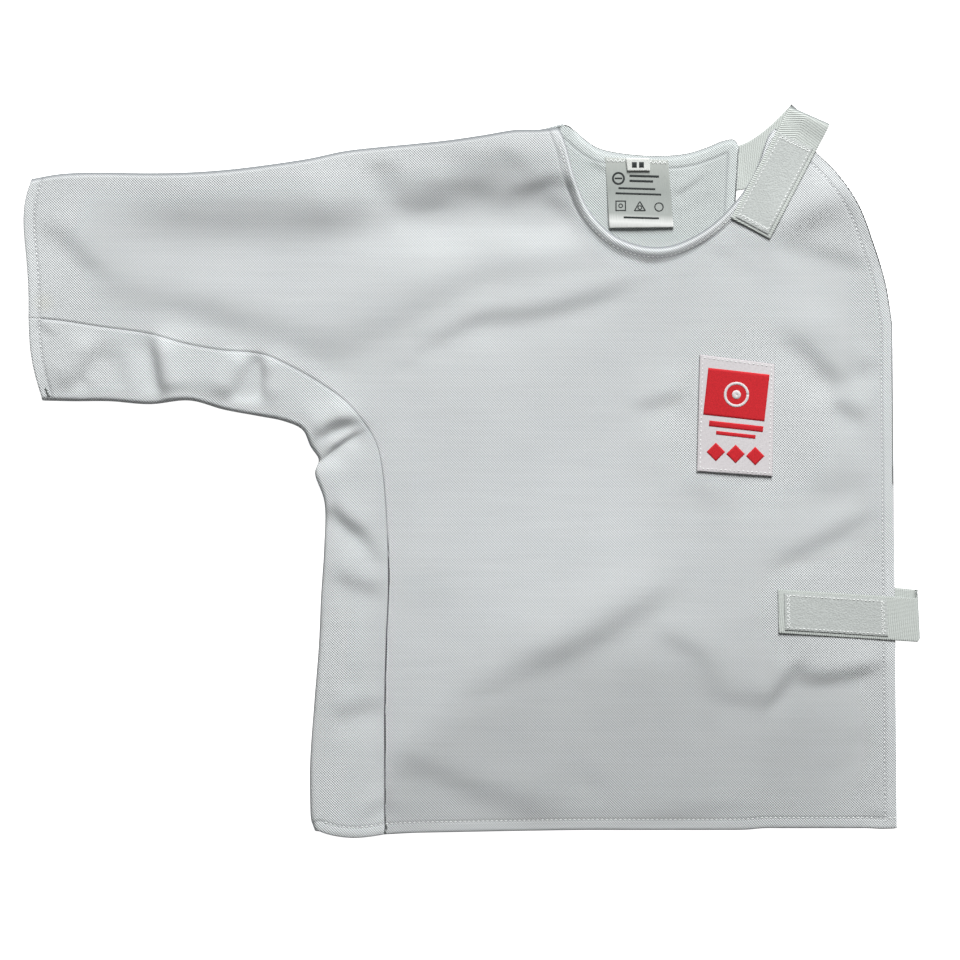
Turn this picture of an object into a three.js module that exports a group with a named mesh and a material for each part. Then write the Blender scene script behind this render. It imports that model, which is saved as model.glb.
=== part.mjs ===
// A small child's one-sleeved fencing underplastron, laid flat on a table with its front up.
// Millimetres. +X is towards the wearer's left, +Y towards the neck, +Z up off the table, with the
// origin on the table under the middle of the whole garment.
import * as THREE from "three";

// Driving sizes
const WALL = 1.6;             // front, back and underarm strip, two layers of cloth
const SEAM_GAP = 0.3;         // between two pieces that are sewn edge to edge
const ON_BACK = 5.4;          // height of the front's middle surface where the back lies under it
const ON_TABLE = 2.5;         // and where the table does
const BACK_HEIGHT = WALL / 2; // the back's middle surface, its underside flat on the table
const LOWEST = 0.85;          // the front's middle surface at its lowest, over the table
const OVER_BACK = 1.95;       // and how much higher it stays over the back
const OVER_STRAP = 1.6;       // and over the waist strap,
const STRAP_MIDDLE = -91;     // which passes under it here
const STRAP_REACH = 18;       // and this far to each side
const BACK_ENDS = 3;          // past the back's free side the front starts to come down,
const BACK_CLEAR = 12;        // is clear of the back
const SETTLED = 45;           // and lies on the table
const WEBBING = 30;           // width of both elastic straps
const WEBBING_WALL = 1.2;
const TAPE = 23;              // width of the hook-and-loop tape
const TAPE_WALL = 1.0;
const LABEL_WALL = 1.0;
const TAB_WALL = 0.8;
const PATCH_WALL = 1.0;
const CUFF_BOW = 4.9;         // how far the middle of the cuff's edge bows out
const CUFF_LEAN = 2.2;        // more than 1 puts the middle of that bow nearer the sleeve's top
const STRIP_CUFF_BOW = 2.9;   // how far the underarm strip's edge bows out at the cuff
const HEM_BOW = 3.6;          // and at the bottom hem
const STRIP_FOLD = 3.2;        // least height of the underarm strip's upper half at its fold
const STRIP_SHARE = 0.85;     // width of the underarm strip's under half, as a share of its upper half

// Sections across the sleeve, cuff to armpit and on down the side: the seam of the front with the
// underarm strip, the strip's folded edge, and the fold along the top of the sleeve and shoulder.
const SLEEVE = [
  { at: "cuff", seam: [-301, 104.5], edge: [-291, 48.5], top: [-299, 199] },
  { at: "sleeve 1", seam: [-279, 102.5], edge: [-270.5, 48], top: [-279, 202.5] },
  { at: "sleeve 2", seam: [-253, 98.5], edge: [-246, 48], top: [-254.5, 203.5] },
  { at: "sleeve 3", seam: [-220.5, 94], edge: [-219, 46], top: [-221.5, 203] },
  { at: "sleeve 4", seam: [-195, 87], edge: [-192, 48.5], top: [-193, 203.5] },
  { at: "sleeve 5", seam: [-170, 82.5], edge: [-168.5, 42.3], top: [-164.5, 205.5] },
  { at: "sleeve 6", seam: [-143, 80], edge: [-145.5, 38], top: [-136, 209] },
  { at: "sleeve 7", seam: [-121, 70.5], edge: [-128, 34.5], top: [-110, 213] },
  { at: "armpit 1", seam: [-102, 59.5], edge: [-115, 28.5], top: [-86.5, 218] },
  { at: "armpit 2", seam: [-85.5, 47.5], edge: [-109.5, 17], top: [-62.5, 220.8] },
  { at: "armpit 3", seam: [-73.5, 33.5], edge: [-104, 8], top: [-39, 223] },
  { at: "armpit 4", seam: [-64.5, 17.5], edge: [-106.5, -2], top: [-15, 225.5] },
  { at: "armpit 5", seam: [-60, -7], edge: [-100, -22], top: [9, 229] },
  { at: "side 1", seam: [-57.5, -46], edge: [-100.5, -53], top: [29, 232.3] },
  { at: "side 2", seam: [-57, -80], edge: [-102.5, -83.5], top: [46, 232.6] },
];
const SIDE = [
  { at: "side 3", seam: [-58.5, -114], edge: [-104, -117.5] },
  { at: "side 4", seam: [-59.5, -155], edge: [-107, -155] },
  { at: "side 5", seam: [-59.5, -199], edge: [-110, -199] },
  { at: "side hem", seam: [-59.5, -246], edge: [-109.5, -243.3] },
];

// The front's further sections. Each runs from the side seam, and then from the bottom hem, up to
// the neck's edge, the shoulder tip and the free side.
const BODY = [
  { at: "shoulder", outer: [59, 234], sharp: "outer" },
  { at: "neck 1", outer: [64, 220.5] },
  { at: "neck 2", outer: [67.5, 206.5] },
  { at: "neck 3", outer: [72, 193], sharp: "inner" },
  { at: "neck 4", inner: [-39, -245], outer: [78, 180] },
  { at: "neck 5", inner: [-15, -244.5], outer: [87, 168.5] },
  { at: "neck 6", inner: [12, -244], outer: [99.5, 159] },
  { at: "neck 7", inner: [43, -243.5], outer: [116.5, 153.5] },
  { at: "neck 8", inner: [73.5, -243], outer: [134, 153.5] },
  { at: "neck 9", inner: [100.5, -243], outer: [151, 160] },
  { at: "neck 10", inner: [124.5, -243], outer: [166.5, 170.5] },
  { at: "neck 11", inner: [148, -243], outer: [180, 184.5] },
  { at: "neck 12", inner: [168.5, -243], outer: [189.5, 198] },
  { at: "neck 13", inner: [185.5, -243], outer: [196, 212] },
  { at: "neck end", inner: [199, -242], outer: [201.5, 228] },
  { at: "tip start", inner: [213, -242], outer: [206.5, 233], sharp: "outer" },
  { at: "tip end", inner: [233, -242], outer: [230.5, 220.5], sharp: "outer" },
  { at: "free side 1", inner: [247, -242], outer: [249, 202] },
  { at: "free side 2", inner: [258.5, -242], outer: [263.5, 180] },
  { at: "free side 3", inner: [268.5, -242], outer: [273.6, 153.2] },
  { at: "free side 4", inner: [278, -242.5], outer: [281, 128.5] },
  { at: "free side 5", inner: [288.7, -242.2], outer: [285.7, 100] },
];

// The back's further sections, up to its own neck edge and on to its hidden free side.
const BACK = [
  { at: "shoulder", outer: [62.5, 236] },
  { at: "neck 1", outer: [69.5, 232.5] },
  { at: "neck 2", outer: [77, 226] },
  { at: "neck 3", inner: [-67.5, -248.6], outer: [85.5, 220.5], sharp: "inner" },
  { at: "neck 4", inner: [-53.5, -247.5], outer: [97, 217.5] },
  { at: "neck 5", inner: [-28.5, -244], outer: [113, 215.5] },
  { at: "neck 6", inner: [2, -243.5], outer: [129, 215] },
  { at: "neck 7", inner: [32.5, -243], outer: [145.5, 216.5] },
  { at: "neck 8", inner: [60, -243], outer: [159, 220.5] },
  { at: "neck 9", inner: [94, -243], outer: [170, 225] },
  { at: "neck 10", inner: [124.5, -243], outer: [178, 226] },
  { at: "free side", inner: [155, -243], outer: [181.5, 221] },
];

// The largest folds. Each is a slope along a line, bowed to its left by bow where one is given, with
// a crest on the left of the line and a trough on its right. Where both are less than 0 the slope
// goes the other way.
const FOLDS = [
  { at: "sleeve top", from: [-250, 170], to: [-59, 169.5], wide: 28.5, crest: 3.15, trough: 1.7 },
  { at: "sleeve head low", from: [-58.5, 181], to: [-11, 180], wide: 15, crest: 2.25, trough: 0.75 },
  { at: "sleeve head", from: [-42.5, 192], to: [24.5, 192], wide: 16.5, crest: 2.8, trough: 0.95 },
  { at: "sleeve head broad", from: [-42.5, 181.5], to: [84, 181], wide: 17.5, crest: 1.35, trough: 0.6 },
  { at: "sleeve head end", from: [23.5, 190], to: [54.5, 196.5], wide: 9.5, crest: 1.35, trough: 1.35 },
  { at: "sleeve head wide", from: [-10, 201.5], to: [76.5, 194], wide: 28.5, crest: 2.6, trough: 0.9 },
  { at: "sleeve head upper", from: [-37.5, 213], to: [68.5, 206], wide: 15, crest: 1.2, trough: 0.45 },
  { at: "sleeve head under", from: [6, 182.5], to: [79.5, 180], wide: 11, crest: 0.9, trough: 0.6 },
  { at: "sleeve head left", from: [-71.5, 199], to: [-29, 194], wide: 16.5, crest: 1.05, trough: 0.7 },
  { at: "neck swell", from: [3, 159], to: [80, 157.5], wide: 20.5, crest: -0.8, trough: -0.8 },
  { at: "sleeve swell", from: [-90.5, 149], to: [15.5, 154], wide: 31.5, crest: -1.35, trough: -1.35 },
  { at: "cuff diagonal", from: [-292.5, 174.5], to: [-243.5, 128], wide: 11, crest: 0.85, trough: 0.85 },
  { at: "sleeve low", from: [-264, 128], to: [-148, 107], bow: -1.5, wide: 17.5, crest: 0.8, trough: 0.95 },
  { at: "sleeve low end", from: [-195.5, 111.5], to: [-71.5, 77.5], wide: 23, crest: 1.1, trough: 1.35 },
  { at: "upper chest", from: [-104.5, 75.5], to: [15.5, 142.5], wide: 17.5, crest: 0.95, trough: 1.2 },
  { at: "upper chest end", from: [-19.5, 129.5], to: [102.5, 149], wide: 12, crest: 0.45, trough: 0.45 },
  { at: "chest crease", from: [-41, 81.5], to: [26, 114], bow: 0.5, wide: 9, crest: 0.85, trough: 0.85 },
  { at: "chest crease end", from: [-6.5, 105], to: [121, 136], bow: -2, wide: 9, crest: 0.95, trough: 0.95 },
  { at: "shoulder hollow", from: [199, 155], to: [259.5, 185.5], wide: 13.5, crest: 1.2, trough: 1.2 },
  { at: "shoulder hollow low", from: [200.5, 157], to: [277, 139.5], wide: 10, crest: 0.95, trough: 1.2 },
  { at: "shoulder hollow broad", from: [215, 168], to: [270, 158.5], wide: 20.5, crest: 0.85, trough: 1 },
  { at: "tip swell", from: [219, 198], to: [269.5, 204.5], wide: 23, crest: -0.55, trough: -0.55 },
  { at: "neck right end", from: [182, 138.5], to: [280, 124.5], bow: -2.5, wide: 11, crest: 0.4, trough: 0.4 },
  { at: "right chest", from: [208, 100], to: [256.5, 58.5], wide: 11, crest: 1.1, trough: 1.3 },
  { at: "free side high", from: [244, 49.5], to: [268.5, 35], wide: 9.5, crest: 0.95, trough: 1.15 },
  { at: "free side low", from: [227.5, -12], to: [273, -4], wide: 15, crest: 0.65, trough: 0.8 },
  { at: "over waist strap", from: [194.5, -67.5], to: [276, -25], bow: -1.5, wide: 9, crest: 1.05, trough: 1.05 },
  { at: "below patch", from: [145, -5], to: [166.5, -25], wide: 12, crest: 0.55, trough: 0.7 },
  { at: "left middle", from: [-51, -77], to: [-8, -83.5], wide: 16.5, crest: 0.5, trough: 0.6 },
  { at: "long diagonal", from: [9.5, -142], to: [147.5, -68.5], bow: -9, wide: 16.5, crest: 2.15, trough: 1.75 },
  { at: "long diagonal foot", from: [-17.5, -149.5], to: [31.5, -140.5], wide: 12, crest: 0.3, trough: 0.5 },
  { at: "middle low", from: [119.5, -108], to: [168.5, -135.5], bow: 3.5, wide: 10, crest: 0.7, trough: 0.7 },
  { at: "middle low turn", from: [148, -134], to: [184, -158.5], wide: 15, crest: 0.4, trough: 0.6 },
  { at: "under strap left", from: [197, -163], to: [224, -126], wide: 6, crest: 1.15, trough: 0.95 },
  { at: "under strap right", from: [217.5, -141.5], to: [283, -132], bow: -2.5, wide: 6, crest: 0.85, trough: 1.05 },
  { at: "lower left", from: [-63, -191.5], to: [8, -217], bow: 1.5, wide: 13, crest: 0.8, trough: 0.8 },
  { at: "lower left end", from: [-13, -212], to: [60.5, -233], wide: 13.5, crest: 0.9, trough: 0.9 },
  { at: "hem hollow", from: [106, -234], to: [187.5, -226.5], bow: -0.5, wide: 7, crest: 0.35, trough: 0.5 },
  { at: "strip 1", from: [-279, 52.5], to: [-254.5, 91.5], wide: 9, crest: 1.4, trough: 1.15 },
  { at: "strip 2", from: [-219, 97], to: [-209.5, 43], wide: 9, crest: 2, trough: 1.35 },
  { at: "strip 3", from: [-170, 48.5], to: [-148, 84.5], wide: 9.5, crest: 1.4, trough: 1.15 },
  { at: "armpit tuck", from: [-113.5, 19], to: [-73, 38.5], bow: 5.5, wide: 8, crest: 1.75, trough: 2.6 },
  { at: "armpit tuck low", from: [-114, 15], to: [-84.5, 28.5], bow: 4, wide: 9.5, crest: 0.8, trough: 1.2 },
  { at: "side fold", from: [-102, -20.5], to: [-67, -46.5], wide: 7, crest: 1.15, trough: 1.75 },
  { at: "side soft 1", from: [-98.5, -66.5], to: [-56.5, -82], bow: -1.5, wide: 9, crest: 0.7, trough: 0.9 },
  { at: "side broad", from: [-89, -140.5], to: [-55.5, -135.5], wide: 17.5, crest: 0.35, trough: 0.5 },
  { at: "side soft 2", from: [-97.5, -167], to: [-55, -155.5], bow: 2, wide: 10, crest: 0.85, trough: 1.05 },
];

const mix = (a, b, t) => a + (b - a) * t;
const mix2 = (a, b, t) => [mix(a[0], b[0], t), mix(a[1], b[1], t)];
const ease = (low, high, x) => {
  const t = Math.min(Math.max((x - low) / (high - low), 0), 1);
  return t * t * (3 - 2 * t);
};
// The larger of two heights, with a soft turn from one to the other.
const larger = (a, b) => (a + b + Math.hypot(a - b, 0.4)) / 2;

// The point at section s of one column of a table, on a smooth line through its rows that turns
// sharply only at the rows marked so.
function through(rows, column, s) {
  const last = rows.length - 1;
  const i = Math.min(Math.max(Math.floor(s), 0), last - 1);
  const t = s - i;
  const at = (k) => rows[Math.min(Math.max(k, 0), last)][column];
  const ends = (k) => k <= 0 || k >= last || rows[k].sharp === column;
  return [0, 1].map((n) => {
    const here = at(i)[n], next = at(i + 1)[n];
    const go = ends(i) ? next - here : (next - at(i - 1)[n]) / 2;
    const come = ends(i + 1) ? next - here : (at(i + 2)[n] - here) / 2;
    const bend = (2 * t * t * t - 3 * t * t + 1) * here + (3 * t * t - 2 * t * t * t) * next;
    return bend + (t * t * t - 2 * t * t + t) * go + (t * t * t - t * t) * come;
  });
}

// The same line moved sideways, to its left where move is more than 0.
function beside(line, s, move) {
  const step = 1e-3;
  const a = line(s - step), b = line(s + step);
  const length = Math.hypot(b[0] - a[0], b[1] - a[1]);
  const here = line(s);
  return [here[0] - ((b[1] - a[1]) / length) * move, here[1] + ((b[0] - a[0]) / length) * move];
}

const STRIP = [...SLEEVE, ...SIDE];
const HEM = STRIP.length - 1; // the section that meets the bottom hem
const SHOULDER = SLEEVE.length; // the section where the top fold ends at the neck
const strip = STRIP.map((row) => ({
  seam: row.seam,
  edge: row.edge,
  under: mix2(row.edge, row.seam, STRIP_SHARE),
}));
const inside = (rows, column) =>
  [...SLEEVE.map((row, i) => ({ inner: strip[i][column], outer: row.top })),
    ...rows.map((row, i) => ({ inner: strip[SHOULDER + i]?.[column], ...row }))];
const front = inside(BODY, "seam");
const back = inside(BACK, "under");

// How far a point is to the right of the back's hidden free side.
const [low, high] = [BACK[BACK.length - 1].inner, BACK[BACK.length - 1].outer];
const pastBack = (x, y) => x - mix(low[0], high[0], (y - low[1]) / (high[1] - low[1]));

// The front's middle surface over the point x, y: its rest height, and the folds. A fold is steepest
// on its line, its crest and trough are one width away from it, and both have died out at its reach.
// It is whole along the middle third of its line, and fades to each end.
function height(x, y) {
  const beyond = pastBack(x, y);
  let z = mix(ON_TABLE, ON_BACK, 1 - ease(BACK_ENDS, SETTLED, beyond));
  for (const fold of FOLDS) {
    const [dx, dy] = [fold.to[0] - fold.from[0], fold.to[1] - fold.from[1]];
    const length = Math.hypot(dx, dy);
    const [px, py] = [x - fold.from[0], y - fold.from[1]];
    const along = (px * dx + py * dy) / (length * length);
    const across = (py * dx - px * dy) / length - 4 * (fold.bow ?? 0) * along * (1 - along);
    const off = across / fold.wide;
    const reach = Math.min(Math.max((0.45 * length) / fold.wide, 1.7), 4.5);
    if (Math.abs(off) > 2.5 * reach || Math.abs(along - 0.5) > 1) continue;
    const past = Math.max(Math.abs(2 * along - 1) - 0.35, 0) / 0.45;
    const total = fold.crest + fold.trough + ((fold.crest - fold.trough) * off) / Math.hypot(1, off);
    z += (off / (1 + off * off)) * total * Math.exp(-((off / reach) ** 2) - past * past);
  }
  const overBack = 1 - ease(BACK_ENDS, BACK_CLEAR, beyond);
  const overStrap = 1 - ease(STRAP_REACH, STRAP_REACH + 8, Math.abs(y - STRAP_MIDDLE));
  const lowest = LOWEST + Math.max(OVER_BACK * overBack, OVER_STRAP * overStrap);
  return larger(z, lowest);
}

// A sheet of cloth between two faces, each half a wall off the middle surface that place(u, v)
// gives, closed all round its edge.
function sheet(name, colour, us, vs, wall, place) {
  const middle = (u, v) => new THREE.Vector3(...place(u, v));
  const points = [];
  const step = 1e-3;
  const [uLast, vLast] = [us[us.length - 1], vs[vs.length - 1]];
  for (const side of [1, -1]) {
    for (const u of us) {
      for (const v of vs) {
        const du = middle(Math.min(u + step, uLast), v).sub(middle(Math.max(u - step, us[0]), v));
        const dv = middle(u, Math.min(v + step, vLast)).sub(middle(u, Math.max(v - step, vs[0])));
        const normal = du.cross(dv).normalize();
        points.push(middle(u, v).addScaledVector(normal, (side * wall) / 2));
      }
    }
  }
  const [rows, columns] = [us.length, vs.length];
  const at = (side, i, j) => side * rows * columns + i * columns + j;
  const index = [];
  const quad = (a, b, c, d) => index.push(a, b, c, a, c, d);
  for (let i = 0; i < rows - 1; i++) {
    for (let j = 0; j < columns - 1; j++) {
      quad(at(0, i, j), at(0, i + 1, j), at(0, i + 1, j + 1), at(0, i, j + 1));
      quad(at(1, i, j), at(1, i, j + 1), at(1, i + 1, j + 1), at(1, i + 1, j));
    }
    quad(at(0, i, 0), at(1, i, 0), at(1, i + 1, 0), at(0, i + 1, 0));
    const j = columns - 1;
    quad(at(0, i, j), at(0, i + 1, j), at(1, i + 1, j), at(1, i, j));
  }
  for (let j = 0; j < columns - 1; j++) {
    quad(at(0, 0, j), at(0, 0, j + 1), at(1, 0, j + 1), at(1, 0, j));
    const i = rows - 1;
    quad(at(0, i, j), at(1, i, j), at(1, i, j + 1), at(0, i, j + 1));
  }
  const geometry = new THREE.BufferGeometry().setFromPoints(points);
  geometry.setIndex(index);
  geometry.computeVertexNormals();
  const mesh = new THREE.Mesh(geometry, new THREE.MeshStandardMaterial({ color: colour, roughness: 0.9 }));
  mesh.name = name;
  return mesh;
}

// Steps from first to last, count of them between.
const steps = (first, last, count) =>
  Array.from({ length: count + 1 }, (_, i) => mix(first, last, i / count));

const CLOTH = 0xdfe2e3;
const ELASTIC = 0xc6cac6;

// A bow of the cuff's edge, at the share v of the way across it, fading along the sleeve.
const cuffBow = (bow, s, v) => -bow * Math.exp(-((s / 0.9) ** 2)) * Math.sin(Math.PI * v);

const BAND = 14; // width of the neck's rolled band and of the part that curls down at the top fold
const CURL = 2.6; // how far in from its end the curl starts
const NECK_ROLL = 2.3; // how much higher the neck's rolled edge stands than the cloth beside it
const NECK_DROP = 2.1; // how far its end turns down
const TIP = SHOULDER + BODY.findIndex((row) => row.at === "tip start");

// The front. v 0 to 1 is its body, 1 to 2 the band by its outer edge, and 2 to 3 the curl of the
// edge, down to the back at the top fold, and down inside the neck's roll.
function frontPlace(s, v) {
  const seamLine = (k) => through(front, "inner", k);
  const inner = s <= HEM ? beside(seamLine, Math.min(s, HEM - 0.01), SEAM_GAP / 2) : seamLine(s);
  const outer = through(front, "outer", s);
  const length = Math.hypot(outer[0] - inner[0], outer[1] - inner[1]);
  const fold = 1 - ease(SHOULDER, SHOULDER + 0.6, s);
  const neck = ease(SHOULDER, SHOULDER + 0.6, s) * (1 - ease(TIP - 0.8, TIP, s));
  const inset = (WALL / 2) * Math.max(fold, neck);
  const end = mix2(inner, outer, 1 - inset / length);
  const endHeight = height(...end);
  const drop = (fold * (endHeight - BACK_HEIGHT - SEAM_GAP)) / 2 + neck * NECK_DROP;
  const turn = (Math.PI / 2) * Math.max(v - 2, 0);
  let off = inset;
  if (v <= 1) off = length - v * (length - BAND);
  else if (v <= 2) off = mix(BAND, inset + CURL, v - 1);
  else off = inset + CURL * (1 - Math.sin(turn));
  const [x, y] = mix2(inner, outer, 1 - off / length);
  const share = 1 - off / length;
  const roll = NECK_ROLL * neck * mix(0.45, 1, ease(SHOULDER + 0.5, SHOULDER + 3, s))
    * mix(1, 0.25, ease(TIP - 6, TIP - 3, s));
  const lip = 1 - ease(2.5, 11.5, off);
  const z = height(x, y) + roll * lip - drop * (1 - Math.cos(turn));
  return [x + cuffBow(CUFF_BOW, s, share ** CUFF_LEAN), y, z];
}

// The back. v 0 to 1 is flat on the table, and 1 to 2 curls up to the front along the top fold.
function backPlace(s, v) {
  const seamLine = (k) => through(back, "inner", k);
  const inner = s <= HEM ? beside(seamLine, Math.min(s, HEM - 0.01), SEAM_GAP / 2) : seamLine(s);
  const outer = through(back, "outer", s);
  const length = Math.hypot(outer[0] - inner[0], outer[1] - inner[1]);
  const fold = 1 - ease(SHOULDER - 0.5, SHOULDER, s);
  const inset = (WALL / 2) * fold;
  const end = mix2(inner, outer, 1 - inset / length);
  const rise = fold * ((height(...end) - BACK_HEIGHT - SEAM_GAP) / 2);
  const turn = (Math.PI / 2) * Math.max(v - 1, 0);
  const off = v <= 1 ? mix(length, inset + CURL, v) : inset + CURL * (1 - Math.sin(turn));
  const [x, y] = mix2(inner, outer, 1 - off / length);
  const bow = cuffBow(CUFF_BOW, s, (1 - off / length) ** CUFF_LEAN);
  return [x + bow, y, BACK_HEIGHT + rise * (1 - Math.cos(turn))];
}

const FOLD_SOFTNESS = 6; // how far in from the strip's fold its height still shows
// The underarm strip. v 0 to 1 runs from its seam with the front to its folded edge, 1 to 2 round
// the fold, and 2 to 3 back along the table to its seam with the back.
function stripPlace(s, v) {
  const near = Math.min(s, HEM - 0.01);
  const seam = beside((k) => through(strip, "seam", k), near, -SEAM_GAP / 2);
  const under = beside((k) => through(strip, "under", k), near, -SEAM_GAP / 2);
  const edge = through(strip, "edge", s);
  const last = s - near;
  const there = through(strip, "seam", s), before = through(strip, "seam", near);
  if (last > 0) {
    for (const point of [seam, under]) {
      point[0] += there[0] - before[0];
      point[1] += there[1] - before[1];
    }
  }
  const length = Math.hypot(edge[0] - seam[0], edge[1] - seam[1]);
  const probe = mix2(edge, seam, STRIP_FOLD / length);
  const crown = Math.max(height(...probe) - 0.3, STRIP_FOLD);
  const half = (crown - BACK_HEIGHT) / 2;
  const reach = 1.25 * half;
  const start = mix2(edge, seam, (WALL / 2 + reach) / length);
  const hemBow = HEM_BOW * Math.exp(-(((HEM - s) / 0.3) ** 2));
  const bow = (share) => cuffBow(STRIP_CUFF_BOW, s, 0.9 * share);
  if (v <= 1) {
    const [x, y] = mix2(seam, start, v);
    const gone = Math.hypot(start[0] - x, start[1] - y) / FOLD_SOFTNESS;
    const z = height(x, y);
    return [x + bow(v), y - hemBow * Math.sin(3 * v), mix(z, crown, Math.exp(-gone * gone))];
  }
  if (v <= 2) {
    const turn = Math.PI * (v - 1);
    const [x, y] = mix2(start, edge, (reach * Math.sin(turn)) / (WALL / 2 + reach));
    return [x + bow(1), y - hemBow * Math.sin(3), BACK_HEIGHT + half * (1 + Math.cos(turn))];
  }
  const [x, y] = mix2(start, under, v - 2);
  return [x + bow(3 - v), y - hemBow * Math.sin(3 * (3 - v)), BACK_HEIGHT];
}

// The shoulder strap's middle line: t 0 to 1 from the back's end to its fold, 1 to 2 round the
// fold, 2 to 3 back over the front's shoulder tip to its free end. w is across it, -1 to 1. The lower
// layer lies beside the upper one by slip. Both are clear of the front, and lift at the free end.
const SHOULDER_STRAP = {
  start: [183.3, 207], bend: [200, 208.3], fold: [229.4, 242.6], end: [189.5, 167.5],
  across: [0.914, -0.405], endAcross: [0.882, -0.471], foldHeight: 5, clear: 1, lift: 1.5, slip: 0,
};
const WAIST_STRAP = {
  start: [165, -88], bend: [240, -88.5], fold: [303.9, -98.5], end: [208, -94.5],
  across: [0.05, -0.999], endAcross: [0.02, -1], foldHeight: 3.8, clear: 0.35, lift: 0.9, slip: 5.4,
};
function strapPlace(strap, t, w, wide) {
  const foot = WEBBING_WALL / 2;
  const half = (strap.foldHeight - foot) / 2;
  const reach = 1.15 * half + foot;
  const out = [-strap.across[1], strap.across[0]];
  const turnAt = [strap.fold[0] - out[0] * reach, strap.fold[1] - out[1] * reach];
  const lowEnd = [turnAt[0] - strap.across[0] * strap.slip, turnAt[1] - strap.across[1] * strap.slip];
  const side = (wide / 2) * w;
  if (t <= 1) {
    const a = mix2(strap.start, strap.bend, t), b = mix2(strap.bend, lowEnd, t);
    const [x, y] = mix2(a, b, t);
    const length = Math.hypot(b[0] - a[0], b[1] - a[1]);
    const [gx, gy] = [(b[0] - a[0]) / length, (b[1] - a[1]) / length];
    return [x + gy * side, y - gx * side, foot];
  }
  if (t <= 2) {
    const turn = Math.PI * (t - 1);
    const go = 1.15 * half * Math.sin(turn);
    const moved = side - strap.slip * (2 - t);
    return [
      turnAt[0] + out[0] * go + strap.across[0] * moved,
      turnAt[1] + out[1] * go + strap.across[1] * moved,
      foot + half * (1 - Math.cos(turn)),
    ];
  }
  const [cx, cy] = mix2(turnAt, strap.end, t - 2);
  const [ax, ay] = mix2(strap.across, strap.endAcross, t - 2);
  const [x, y] = [cx + ax * side, cy + ay * side];
  const gone = Math.hypot(cx - turnAt[0], cy - turnAt[1]);
  const lying = height(x, y) + WALL / 2 + strap.clear + foot;
  const z = mix(strap.foldHeight, lying, ease(0, 12, gone)) + strap.lift * ease(2.7, 3, t);
  return [x, y, z];
}
// A tape on a strap's upper layer, between two shares of its length.
const tapePlace = (strap, from, to) => (t, w) => {
  const [x, y, z] = strapPlace(strap, mix(from, to, t), w, TAPE);
  return [x, y, z + WEBBING_WALL / 2 + SEAM_GAP + TAPE_WALL / 2];
};

// A four-cornered piece laid on what rest(x, y) gives. Corners go round from its upper left.
const laid = (corners, rest) => (u, v) => {
  const [x, y] = mix2(mix2(corners[0], corners[1], u), mix2(corners[3], corners[2], u), v);
  return [x, y, rest(x, y, u, v)];
};
const PATCH = [[154.5, 80], [205.5, 73.5], [204, -3], [152.5, 0.5]];
const LABEL = [[90, 214], [133.5, 212], [137, 167.5], [94, 167.5]];
const TAB = [[104.5, 213], [120.5, 213], [121, 204.5], [105.5, 204.5]];
const labelRest = (x, y) => WALL + SEAM_GAP + LABEL_WALL / 2 + 1.3 * ease(200, 168, y);

const part = new THREE.Group();
part.add(
  sheet("front_panel", CLOTH, steps(0, front.length - 1, 84),
    [...steps(0, 1, 19), ...steps(1, 2, 5).slice(1), ...steps(2, 3, 3).slice(1)], WALL, frontPlace),
  sheet("back_panel", CLOTH, steps(0, back.length - 1, 56),
    [...steps(0, 1, 4), ...steps(1, 2, 3).slice(1)], WALL, backPlace),
  sheet("underarm_panel", CLOTH, steps(0, HEM, 60),
    [...steps(0, 1, 7), ...steps(1, 2, 6).slice(1), ...steps(2, 3, 2).slice(1)], WALL, stripPlace),
  sheet("shoulder_strap", ELASTIC,
    [...steps(0, 1, 8), ...steps(1, 2, 6).slice(1), ...steps(2, 3, 12).slice(1)], steps(-1, 1, 4),
    WEBBING_WALL, (t, w) => strapPlace(SHOULDER_STRAP, t, w, WEBBING)),
  sheet("shoulder_strap_tape", ELASTIC, steps(0, 1, 10), steps(-1, 1, 3), TAPE_WALL,
    tapePlace(SHOULDER_STRAP, 2.17, 2.975)),
  sheet("waist_strap", ELASTIC,
    [...steps(0, 1, 6), ...steps(1, 2, 6).slice(1), ...steps(2, 3, 10).slice(1)], steps(-1, 1, 4),
    WEBBING_WALL, (t, w) => strapPlace(WAIST_STRAP, t, w, WEBBING)),
  sheet("waist_strap_tape", ELASTIC, steps(0, 1, 8), steps(-1, 1, 3), TAPE_WALL,
    tapePlace(WAIST_STRAP, 2.3, 2.93)),
  sheet("neck_label", 0xb0b5b1, steps(0, 1, 4), steps(0, 1, 6), LABEL_WALL, laid(LABEL, labelRest)),
  sheet("size_tab", 0xe8eae8, steps(0, 1, 2), steps(0, 1, 2), TAB_WALL,
    laid(TAB, (x, y) => labelRest(x, y) + LABEL_WALL / 2 + SEAM_GAP + TAB_WALL / 2)),
  sheet("chest_patch", 0xd9d3d5, steps(0, 1, 6), steps(0, 1, 8), PATCH_WALL,
    laid(PATCH, (x, y) => height(x, y) + WALL / 2 + SEAM_GAP + PATCH_WALL / 2)),
);

export default part;
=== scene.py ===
"""A small child's one-sleeved fencing underplastron, laid flat on a table with its front up.

Shapes are worked out in millimetres, as in the part's own source, and put into meshes in metres.
"""

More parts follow.
